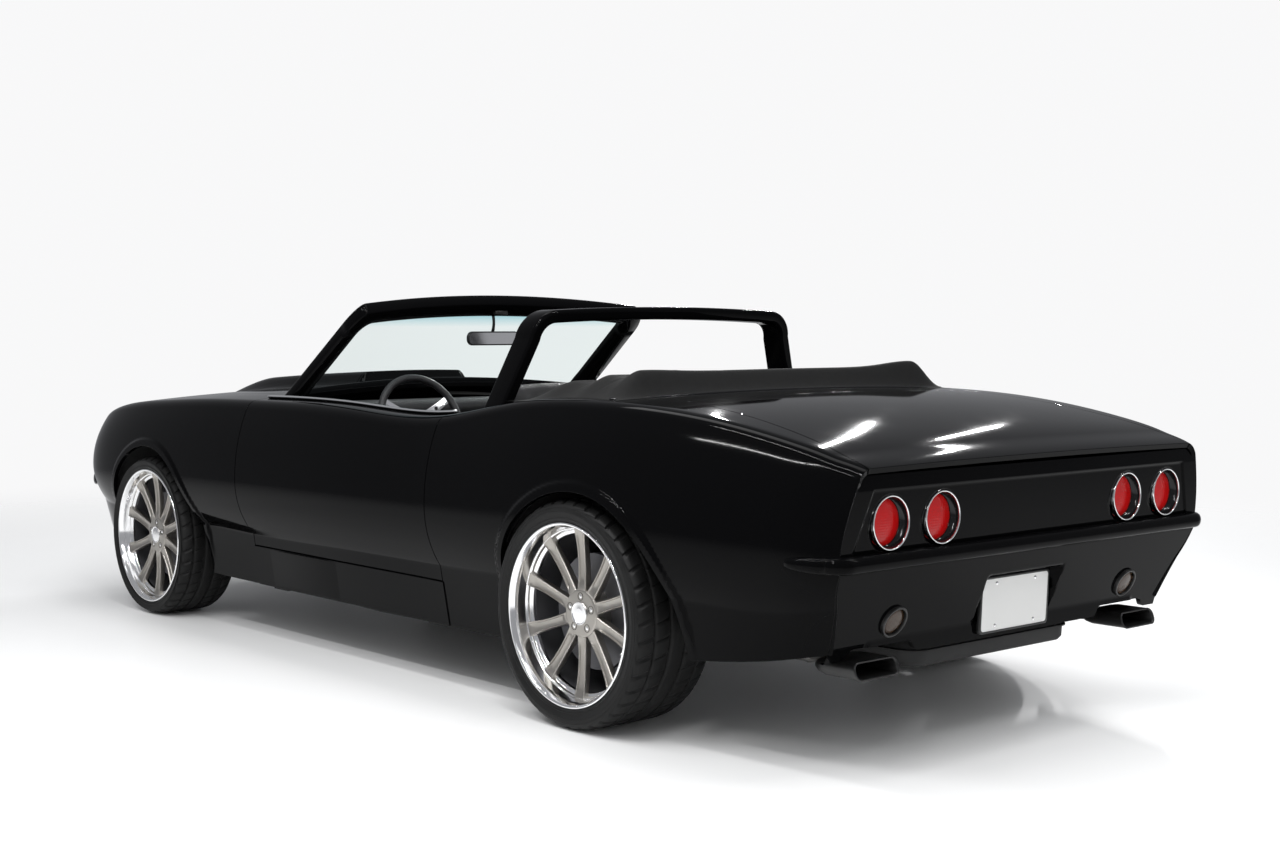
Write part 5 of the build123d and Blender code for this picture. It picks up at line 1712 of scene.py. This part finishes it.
boot_verts = []
BOOT_NX, BOOT_NY = 120, 260
for i in range(BOOT_NX):
    for j in range(BOOT_NY):
        side = -1 + 2 * j / (BOOT_NY - 1)
        along = i / (BOOT_NX - 1)
        y = boot_half(along) * side
        front = min(BOOT_FRONT, BOOT_FRONT - 0.030 * (1 - side * side) + 0.02)
        x = front + (BOOT_REAR - front) * along
        z = boot_height(x, y)
        for cx, cy, dx, dy, long, wide, high in creases:
            run = (x - cx) * dx + (y - cy) * dy
            off = -(x - cx) * dy + (y - cy) * dx
            inside = float(smooth_step(min(along, 1 - along, 1 - abs(side)), 0.0, 0.12))
            z += high * math.exp(-((run / long) ** 2) - (off / wide) ** 2) * inside
        boot_verts.append([x, y, z])
boot = pointed(mesh_object("boot_cover_cloth", boot_verts, grid_faces(BOOT_NX, BOOT_NY)), (0, 0, 1))
place(boot, "body", canvas, stands_for=["boot_cover"], slot="cloth")

# Hem moulding: a thin dark chrome strip clipped to the body round the rear edge of the cover, to
# hold the cloth down.
strip_rings = []
for part in np.linspace(-1, 1, 80):
    y = 0.757 * part
    x = BOOT_REAR - 0.002 + 0.05 * abs(part) ** 8
    z = boot_height(BOOT_REAR, y) + 0.001
    strip_rings.append(
        [
            (x + dx, y, z + dz)
            for dx, dz in (
                (-0.004, -0.004), (-0.0045, 0.001), (-0.0025, 0.003), (0.0, 0.0035), (0.003, 0.002),
                (0.004, -0.004),
            )
        ]
    )
strip = skinned("boot_strip", strip_rings)
place(strip, "body", dark_chrome)


# Seats: foam cushions covered in black leather with a fine pebbled grain, sewn in narrow channels.
# Each front seat is bolted down on a plain steel pedestal.
leather, leather_tree, leather_shader = new_material("black leather")
leather_place = node(leather_tree, "ShaderNodeTexCoord")
pebble = node(
    leather_tree,
    "ShaderNodeTexVoronoi",
    {"Vector": leather_place.outputs["Object"], "Scale": 650.0},
    feature="DISTANCE_TO_EDGE",
)
pebble_soft = node(
    leather_tree, "ShaderNodeMapRange", {"Value": pebble.outputs["Distance"], "From Max": 0.25}
)
crease = node(
    leather_tree,
    "ShaderNodeTexNoise",
    {"Vector": leather_place.outputs["Object"], "Scale": 24.0, "Detail": 6.0, "Distortion": 0.6},
)
leather_height = node(
    leather_tree, "ShaderNodeMath", {0: pebble_soft.outputs[0], 1: crease.outputs["Fac"]}, operation="ADD"
)
leather_bump = node(
    leather_tree,
    "ShaderNodeBump",
    {"Height": leather_height.outputs[0], "Distance": 0.00045, "Strength": 0.5},
)
leather_rough = spread(leather_tree, crease.outputs["Fac"], 0.3, 0.7, 0.34, 0.48)
leather_tree.links.new(leather_bump.outputs[0], leather_shader.inputs["Normal"])
leather_tree.links.new(leather_rough.outputs[0], leather_shader.inputs["Roughness"])
leather_shader.inputs["Base Color"].default_value = (0.011, 0.011, 0.012, 1)


def padded_block(name, side_line, y_low, y_high, crown, corner, rows=26):
    """A closed cushion blank: a side outline carried across, drawn in at both ends."""
    outline = np.array(side_line)
    middle = outline.mean(axis=0)
    rings = []
    for k in range(rows):
        part = -1 + 2 * k / (rows - 1)
        inset = corner * (1 - math.sqrt(max(0.0, 1 - max(0.0, (abs(part) - 1 + 0.18) / 0.18) ** 2)))
        swell = 1 + crown * (1 - part * part)
        y = (y_low + y_high) / 2 + (y_high - y_low) / 2 * part
        ring = []
        for x, z in outline:
            way = np.array([x, z]) - middle
            length = np.linalg.norm(way)
            at = middle + way * (swell - inset / max(length, 1e-6))
            ring.append((at[0], y, at[1]))
        rings.append(ring)
    return skinned(name, rings)


def applied(obj):
    graph = bpy.context.evaluated_depsgraph_get()
    mesh = bpy.data.meshes.new_from_object(obj.evaluated_get(graph))
    obj.modifiers.clear()
    obj.data = mesh
    for polygon in mesh.polygons:
        polygon.use_smooth = True
    return obj


def stuffed(obj, voxel, pressure, cap):
    """Fills a closed blank by cloth simulation; no point moves further than the cap."""
    remesh = obj.modifiers.new("even", "REMESH")
    remesh.mode = "VOXEL"
    remesh.voxel_size = voxel
    applied(obj)
    base = np.array([v.co[:] for v in obj.data.vertices])
    cloth = obj.modifiers.new("fill", "CLOTH")
    cloth.settings.use_pressure = True
    cloth.settings.uniform_pressure_force = pressure
    cloth.settings.effector_weights.gravity = 0
    cloth.point_cache.frame_start, cloth.point_cache.frame_end = 1, 20
    for moment in range(1, 21):
        bpy.context.scene.frame_set(moment)
    graph = bpy.context.evaluated_depsgraph_get()
    filled = np.array([v.co[:] for v in obj.evaluated_get(graph).data.vertices])
    obj.modifiers.clear()
    bpy.context.scene.frame_set(1)
    move = filled - base
    length = np.maximum(np.linalg.norm(move, axis=1), 1e-9)
    final = base + move * (np.minimum(length, cap) / length)[:, None]
    obj.data.vertices.foreach_set("co", final.ravel())
    obj.data.update()
    smooth = obj.modifiers.new("smooth", "SUBSURF")
    smooth.levels = smooth.render_levels = 1
    return applied(obj)


def sewn(obj, y_mid, half, pitch, depth, faces_up):
    """Presses sewn channels into one side of a cushion, each a narrow groove between soft rolls."""
    mesh = obj.data
    count = len(mesh.vertices)
    points = np.empty(count * 3)
    mesh.vertices.foreach_get("co", points)
    points = points.reshape(-1, 3)
    normals = np.empty(count * 3)
    mesh.vertices.foreach_get("normal", normals)
    normals = normals.reshape(-1, 3)
    y = points[:, 1] - y_mid
    phase = (y / pitch + 0.5) % 1.0 - 0.5
    groove = -depth * np.exp(-((phase * pitch / 0.0045) ** 2)) + depth * 0.35 * np.cos(phase * 2 * math.pi)
    outer = np.exp(-(((np.abs(y) - half) / 0.0050) ** 2)) * -depth * 1.2
    facing = smooth_step(normals @ np.array(faces_up), 0.15, 0.55)
    inside = 1 - smooth_step(np.abs(y), half - 0.004, half + 0.001)
    points += normals * ((groove * inside + outer) * facing)[:, None]
    mesh.vertices.foreach_set("co", points.ravel())
    mesh.update()
    return obj


BACK_LINE = [
    (-0.392, 0.440), (-0.440, 0.620), (-0.492, 0.800), (-0.528, 0.930), (-0.548, 0.972), (-0.580, 0.984),
    (-0.608, 0.968), (-0.614, 0.920), (-0.600, 0.760), (-0.576, 0.560), (-0.548, 0.420), (-0.470, 0.380),
]
CUSHION_LINE = [
    (-0.400, 0.330), (-0.200, 0.322), (0.020, 0.330), (0.066, 0.360), (0.080, 0.405), (0.062, 0.448),
    (-0.020, 0.456), (-0.200, 0.436), (-0.360, 0.420), (-0.420, 0.400), (-0.428, 0.360),
]
seat_back = sewn(
    stuffed(padded_block("seat_back", BACK_LINE, 0.130, 0.570, 0.05, 0.030), 0.009, 4.0, 0.014),
    0.350,
    0.155,
    0.044,
    0.006,
    (0.94, 0, 0.34),
)
seat_base = sewn(
    stuffed(padded_block("seat_base", CUSHION_LINE, 0.128, 0.572, 0.05, 0.026), 0.009, 4.0, 0.014),
    0.350,
    0.155,
    0.044,
    0.006,
    (0, 0, 1),
)
for part_name, shape in (("back", seat_back), ("base", seat_base)):
    copy = shape.copy()
    copy.data = shape.data.copy()
    copy.data.transform(Matrix.Scale(-1, 4, (0, 1, 0)))
    copy.data.flip_normals()
    bpy.context.scene.collection.objects.link(copy)
    shape.name, copy.name = f"seat_{part_name}_left", f"seat_{part_name}_right"
    for piece, side_name in ((shape, "left"), (copy, "right")):
        piece.data.materials.clear()
        place(piece, "body", leather, slot="leather")
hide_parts("seat_left")
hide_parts("seat_right")
for side in (-1, 1):
    pedestal = skinned(
        "seat_pedestal",
        [
            [(x, side * 0.35 + dy, z) for x, dy in rounded_rectangle(0.19 + grow, 0.165 + grow, 0.03)]
            for z, grow in ((0.222, 0.0), (0.230, 0.004), (0.300, 0.0), (0.335, -0.01))
        ],
    )
    pedestal.data.transform(Matrix.Translation((-0.18, 0, 0)))
    pedestal.name = f"seat_pedestal_{'left' if side > 0 else 'right'}"
    place(auto_sharp(pedestal), "body", satin_black)

REAR_BACK = [
    (-1.078, 0.500), (-1.086, 0.640), (-1.094, 0.780), (-1.104, 0.836), (-1.122, 0.852), (-1.140, 0.838),
    (-1.143, 0.700), (-1.143, 0.500),
]
REAR_BASE = [
    (-1.050, 0.478), (-0.900, 0.444), (-0.730, 0.412), (-0.700, 0.436), (-0.706, 0.486), (-0.750, 0.518),
    (-0.900, 0.516), (-1.040, 0.506),
]
rear_back = sewn(
    stuffed(padded_block("rear_seat_back", REAR_BACK, -0.555, 0.555, 0.03, 0.02, rows=50), 0.010, 3.0, 0.008),
    0,
    0.50,
    0.050,
    0.005,
    (1, 0, 0),
)
rear_base = sewn(
    stuffed(padded_block("rear_seat_base", REAR_BASE, -0.555, 0.555, 0.03, 0.02, rows=50), 0.010, 3.0, 0.010),
    0,
    0.50,
    0.050,
    0.005,
    (0, 0, 1),
)
for piece in (rear_back, rear_base):
    place(piece, "body", leather, slot="leather")
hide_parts("rear_seat")

# Steering wheel: a steel ring wrapped in thick leather, on three bright drilled spokes. They are
# welded to a plain round centre on the column.
column_angle = math.radians(22)
column_way = Vector((-math.cos(column_angle), 0, math.sin(column_angle)))
wheel_place = Matrix.Translation(
    (0.190, 0.370, 0.820)
) @ column_way.to_track_quat("Z", "Y").to_matrix().to_4x4()
rim_rings = []
for k in range(120):
    turn = 2 * math.pi * k / 120
    ring = []
    for a in np.linspace(0, 2 * math.pi, 25)[:-1]:
        grip = 0.0138 + 0.0006 * math.cos(16 * turn) * (math.cos(a - math.pi) > 0.3)
        r = 0.1705 + grip * math.cos(a)
        ring.append((r * math.cos(turn), r * math.sin(turn), grip * math.sin(a)))
    rim_rings.append(ring)
rim_rings.append(rim_rings[0])
steer_rim = coated(skinned("steering_rim", rim_rings, close_ends=False), leather)
steer_parts = [steer_rim]
for k in range(3):
    turn = math.radians(270 + 120 * k)
    out, across = Vector((math.cos(turn), math.sin(turn), 0)), Vector((-math.sin(turn), math.cos(turn), 0))
    rings = []
    for r, half, z in (
        (0.030, 0.022, -0.013), (0.060, 0.019, -0.013), (0.100, 0.0150, -0.011), (0.140, 0.0135, -0.006),
        (0.164, 0.0160, -0.002),
    ):
        rings.append(
            [
                tuple(out * r + across * w + Vector((0, 0, z + t)))
                for w, t in (
                    (-half, -0.0015), (-half, 0.0015), (-half + 0.002, 0.0025), (half - 0.002, 0.0025),
                    (half, 0.0015), (half, -0.0015),
                )
            ]
        )
    spoke = coated(skinned("steering_spoke", rings), bright_metal)
    steer_parts.append(auto_sharp(spoke, 30))
    # Drilled holes: shallow cups in the soot black, painted shade in place of open holes.
    for r in (0.072, 0.098, 0.124):
        hole = turned(
            "hole",
            [(0.0072, -0.0080), (0.0072, -0.0072), (0.0060, -0.0066), (0.0055, -0.0078), (0.0001, -0.0082)],
            (0, 0, 0),
            axis=2,
            segments=24,
        )
        hole.data.transform(Matrix.Translation(tuple(out * r)))
        hole.data.materials.append(soot_and_painted_shade)
        steer_parts.append(hole)
boss = coated(
    turned(
        "boss",
        [
            (0.046, -0.030), (0.046, -0.016), (0.043, -0.010), (0.036, -0.006), (0.034, -0.0045),
            (0.020, -0.0030), (0.0001, -0.0025),
        ],
        (0, 0, 0),
        axis=2,
        segments=64,
    ),
    satin_black,
)
horn_ring = coated(
    turned(
        "horn_ring",
        [(0.036, -0.0064), (0.0355, -0.0042), (0.0335, -0.0036), (0.0325, -0.0044)],
        (0, 0, 0),
        axis=2,
        segments=64,
    ),
    bright_metal,
)
steer_parts += [boss, horn_ring]
for piece in steer_parts:
    piece.data.transform(wheel_place)
place(joined("steering_wheel_set", steer_parts), "steering_wheel", stands_for=["steering_wheel"])

# Dashboard: a rolled, padded leather top over a flat fascia. Round gauges in bright bezels are let
# into it, and a moulded centre stack stands below.
def bevelled(obj, width=0.002, segments=3, degrees=35):
    """Rounds the edges sharper than the angle, and applies the result."""
    bevel = obj.modifiers.new("round", "BEVEL")
    bevel.width = width
    bevel.segments = segments
    bevel.limit_method = "ANGLE"
    bevel.angle_limit = math.radians(degrees)
    bevel.harden_normals = False
    return applied(obj)


DASH = [
    (0.618, 0.655), (0.618, 0.862), (0.590, 0.876), (0.548, 0.884), (0.500, 0.888), (0.455, 0.888),
    (0.424, 0.882), (0.409, 0.868), (0.405, 0.850), (0.410, 0.836), (0.424, 0.826), (0.430, 0.800),
    (0.424, 0.760), (0.412, 0.722), (0.420, 0.690), (0.460, 0.658), (0.480, 0.652),
]
dash_rings = []
for part in np.linspace(-1, 1, 90):
    y = 0.718 * part
    dash_rings.append([(x, y, z) for x, z in DASH])
dash = coated(skinned("dash_pad", dash_rings), leather)
auto_sharp(dash, 45)
dash_parts = [dash]
for y, z, r in (
    (0.445, 0.775, 0.050), (0.295, 0.775, 0.050), (0.370, 0.745, 0.026), (0.09, 0.775, 0.028),
    (0.0, 0.775, 0.028), (-0.09, 0.775, 0.028),
):
    bezel = coated(
        turned(
            "bezel",
            [(r, 0.01), (r, -0.006), (r - 0.002, -0.009), (r - 0.005, -0.008), (r - 0.006, 0.000)],
            (0.423, y, z),
            segments=64,
        ),
        bright_metal,
    )
    face = coated(
        turned("gauge", [(r - 0.006, 0.0), (r * 0.5, 0.0015), (0.0001, 0.002)], (0.423, y, z), segments=64),
        satin_black,
    )
    needle = coated(
        skinned(
            "needle",
            [
                [
                    (0.4185, y + dy + 0.004 * s, z + dz)
                    for dy, dz in (
                        (-0.0006, -0.002), (0.0006, -0.002), (0.0006 + 0.3 * r, r * 0.55),
                        (-0.0006 + 0.3 * r, r * 0.55),
                    )
                ]
                for s in (0, 0.02)
            ],
        ),
        plate_white,
    )
    dash_parts += [bezel, face, needle]
stack = coated(
    skinned(
        "centre_stack",
        [
            [
                (x, y, z)
                for x, z in (
                    (0.43, 0.715), (0.410, 0.700), (0.400, 0.560), (0.425, 0.405), (0.62, 0.405),
                    (0.62, 0.715),
                )
            ]
            for y in (-0.078, -0.074, 0.074, 0.078)
        ],
    ),
    satin_black,
)
dash_parts.append(auto_sharp(bevelled(stack, 0.006)))
# Two slots in the stack, in the darkened chassis black: painted shade in the recesses.
for z in (0.655, 0.600):
    slot_piece = skinned(
        "slot",
        [
            [(0.4035, y, zz) for y, zz in rounded_rectangle(0.062, 0.020, 0.004)],
            [(0.400, y, zz) for y, zz in rounded_rectangle(0.061, 0.019, 0.004)],
        ],
    )
    slot_piece.data.transform(Matrix.Translation((0.0, 0, z)))
    slot_piece.data.materials.append(chassis_black_with_painted_shade)
    dash_parts.append(slot_piece)
place(joined("dashboard_set", dash_parts), "body", stands_for=["dashboard"])

# Door trims: a padded leather card clipped inside each door, with a stuffed arm rest, a bright
# pull and a bright belt trim along the top.
for side_name, side in (("left", 1), ("right", -1)):
    rings = []
    for y, grow in ((0.757, -0.004), (0.7535, -0.001), (0.749, -0.0005), (0.7465, -0.004), (0.7455, -0.012)):
        rings.append(
            [(0.02 + a, side * y, 0.610 + b) for a, b in rounded_rectangle(0.585 + grow, 0.232 + grow, 0.03)]
        )
    panel = coated(skinned("door_card", rings), leather)
    rest_rings = []
    for x in np.linspace(-0.38, 0.22, 24):
        f = (x + 0.38) / 0.60
        out = 0.030 * math.sin(math.pi * min(1, max(0.02, f))) ** 0.35
        rest_rings.append(
            [
                (x, side * (0.748 - max(0, dy) * out / 0.030), 0.600 + dz)
                for dy, dz in (
                    (-0.002, -0.030), (0.016, -0.026), (0.026, -0.012), (0.030, 0.004), (0.027, 0.016),
                    (0.016, 0.022), (-0.002, 0.023),
                )
            ]
        )
    rest = coated(skinned("arm_rest", rest_rings), leather)
    trim_rings = []
    for x in np.linspace(-0.590, 0.630, 60):
        top = form(np.array([x]), np.array([0.865]))[0]
        trim_rings.append(
            [
                (x, side * (0.7595 + dy), top[2] - 0.001 + dz)
                for dy, dz in (
                    (-0.002, -0.010), (-0.003, 0.002), (-0.001, 0.004), (0.004, 0.0045), (0.007, 0.003),
                    (0.008, -0.002),
                )
            ]
        )
    belt = coated(skinned("belt_trim", trim_rings), bright_metal)
    handle = coated(
        skinned(
            "pull",
            [
                [
                    (x, side * (0.744 - dy), 0.690 + dz)
                    for dy, dz in rounded_rectangle(0.004, 0.006, 0.002, steps=3)
                ]
                for x in np.linspace(0.10, 0.22, 6)
            ],
        ),
        bright_metal,
    )
    place(joined(f"door_trim_{side_name}", [panel, rest, belt, handle]), f"door_{side_name}")


# Parts seen only through gaps or from below keep their solid shapes: undercoat and carpet on the
# floor and wheelhouses, black paint darkened further as painted shade on the frame, engine and rear
# axle, cast metal knuckles, and a satin black steering column.
undercoat, under_tree, under_shader = new_material("undercoat and carpet")
under_place = node(under_tree, "ShaderNodeTexCoord")
under_grain = noise(under_tree, under_place, 260.0, 4.0)
under_tone = spread(under_tree, under_grain.outputs["Fac"], 0.3, 0.7, 0.006, 0.016)
under_color = grey(under_tree, under_tone)
under_bump = node(
    under_tree, "ShaderNodeBump", {"Height": under_grain.outputs["Fac"], "Distance": 0.0012, "Strength": 0.6}
)
under_tree.links.new(under_color.outputs[0], under_shader.inputs["Base Color"])
under_tree.links.new(under_bump.outputs[0], under_shader.inputs["Normal"])
under_shader.inputs["Roughness"].default_value = 0.85

CARRIED = (
    (("underbody", "front_wheelhouses", "rear_wheelhouses"), undercoat),
    (("front_frame", "engine", "rear_axle"), chassis_black_with_painted_shade),
    (("knuckle_left", "knuckle_right"), cast_metal),
    (("steering_column",), satin_black),
)
for names, material in CARRIED:
    for name in names:
        carried = nodes[name]
        carried.data.materials.clear()
        carried.data.materials.append(material)
        for polygon in carried.data.polygons:
            polygon.material_index = 0

# Outer sills: the outer face of the floor pressing on each side. It is steel, and painted like the
# body.
sills = nodes["underbody"].data
sills.materials.append(black_paint)
for polygon in sills.polygons:
    if abs(polygon.center.y) > 0.796 and polygon.center.z < 0.345:
        polygon.material_index = 1


# Studio: a pale floor that fades out with distance, narrow tubes that draw the streaks in the paint,
# and one broad light overhead.
floor_material, floor_tree, floor_shader = new_material("pale floor")
floor_place = node(floor_tree, "ShaderNodeTexCoord")
floor_noise = noise(floor_tree, floor_place, 3.0, 5.0)
floor_tone = node(
    floor_tree, "ShaderNodeMapRange", {"Value": floor_noise.outputs["Fac"], "To Min": 0.86, "To Max": 0.88}
)
floor_color = grey(floor_tree, floor_tone)
floor_tree.links.new(floor_color.outputs[0], floor_shader.inputs["Base Color"])
floor_shader.inputs["Roughness"].default_value = 0.35
floor_reach = node(floor_tree, "ShaderNodeVectorMath", {0: floor_place.outputs["Object"]}, operation="LENGTH")
floor_fade = node(
    floor_tree,
    "ShaderNodeMapRange",
    {"Value": floor_reach.outputs["Value"], "From Min": 3.2, "From Max": 7.5},
    interpolation_type="SMOOTHSTEP",
)
floor_clear = node(floor_tree, "ShaderNodeBsdfTransparent")
floor_mix = node(
    floor_tree,
    "ShaderNodeMixShader",
    {0: floor_fade.outputs[0], 1: floor_shader.outputs[0], 2: floor_clear.outputs[0]},
)
floor_tree.links.new(floor_mix.outputs[0], floor_tree.nodes["Material Output"].inputs["Surface"])
floor = coated(
    mesh_object("studio_floor", [(-40, -40, 0), (40, -40, 0), (40, 40, 0), (-40, 40, 0)], [(0, 1, 2, 3)]),
    floor_material,
)

world = bpy.data.worlds.new("studio")
bpy.context.scene.world = world
world.use_nodes = True
world_tree = world.node_tree
rays = node(world_tree, "ShaderNodeLightPath")
seen = node(
    world_tree,
    "ShaderNodeMath",
    {0: rays.outputs["Is Camera Ray"], 1: rays.outputs["Is Transmission Ray"]},
    operation="MAXIMUM",
)
fill = node(
    world_tree,
    "ShaderNodeMix",
    {"Factor": rays.outputs["Is Glossy Ray"], 6: (0.82, 0.83, 0.84, 1), 7: (0.30, 0.305, 0.32, 1)},
    data_type="RGBA",
)
backdrop = node(
    world_tree,
    "ShaderNodeMix",
    {"Factor": seen.outputs[0], 6: fill.outputs[2], 7: (0.94, 0.94, 0.945, 1)},
    data_type="RGBA",
)
world_tree.links.new(backdrop.outputs[2], world_tree.nodes["Background"].inputs["Color"])


def soft_light(name, location, target, size, power):
    light = bpy.data.lights.new(name, "AREA")
    light.shape = "RECTANGLE"
    light.size, light.size_y = size
    light.energy = power
    obj = bpy.data.objects.new(name, light)
    obj.location = location
    obj.rotation_euler = (Vector(target) - Vector(location)).to_track_quat("-Z", "Y").to_euler()
    obj.visible_camera = False
    bpy.context.scene.collection.objects.link(obj)
    return obj


soft_light("tube_1", (-2.9, 2.6, 3.4), (-1.6, 0.6, 0.8), (0.018, 2.8), 50)
soft_light("tube_2", (-0.6, 3.2, 3.6), (-0.6, 0.6, 0.8), (3.2, 0.018), 55)
soft_light("tube_3", (-3.2, -1.2, 3.4), (-1.8, 0.0, 0.8), (0.018, 2.6), 46)
soft_light("tube_4", (-1.4, 1.6, 3.2), (-1.4, 0.5, 0.8), (2.6, 0.02), 32)
soft_light("far_tube_1", (4.27, -7.71, 5.4), (-1.8, 0.0, 0.9), (0.075, 1.5), 130)
soft_light("far_tube_2", (3.32, -8.64, 5.1), (-1.8, 0.0, 0.9), (0.06, 1.2), 110)
soft_light("far_tube_3", (5.5, -6.5, 4.6), (-1.8, 0.0, 0.9), (0.06, 1.3), 110)
soft_light("overhead", (0.2, 0.0, 4.8), (0.2, 0, 0), (4.6, 1.2), 60)

camera_data = bpy.data.cameras.new("camera")
camera_data.lens = 49.4
camera_data.sensor_width = 36
camera = bpy.data.objects.new("camera", camera_data)
camera.location = (-5.267, 4.081, 1.177)
camera.rotation_euler = (math.radians(86.69), 0, math.radians(-131.32))
bpy.context.scene.collection.objects.link(camera)
bpy.context.scene.camera = camera
bpy.context.scene.view_settings.view_transform = "Standard"
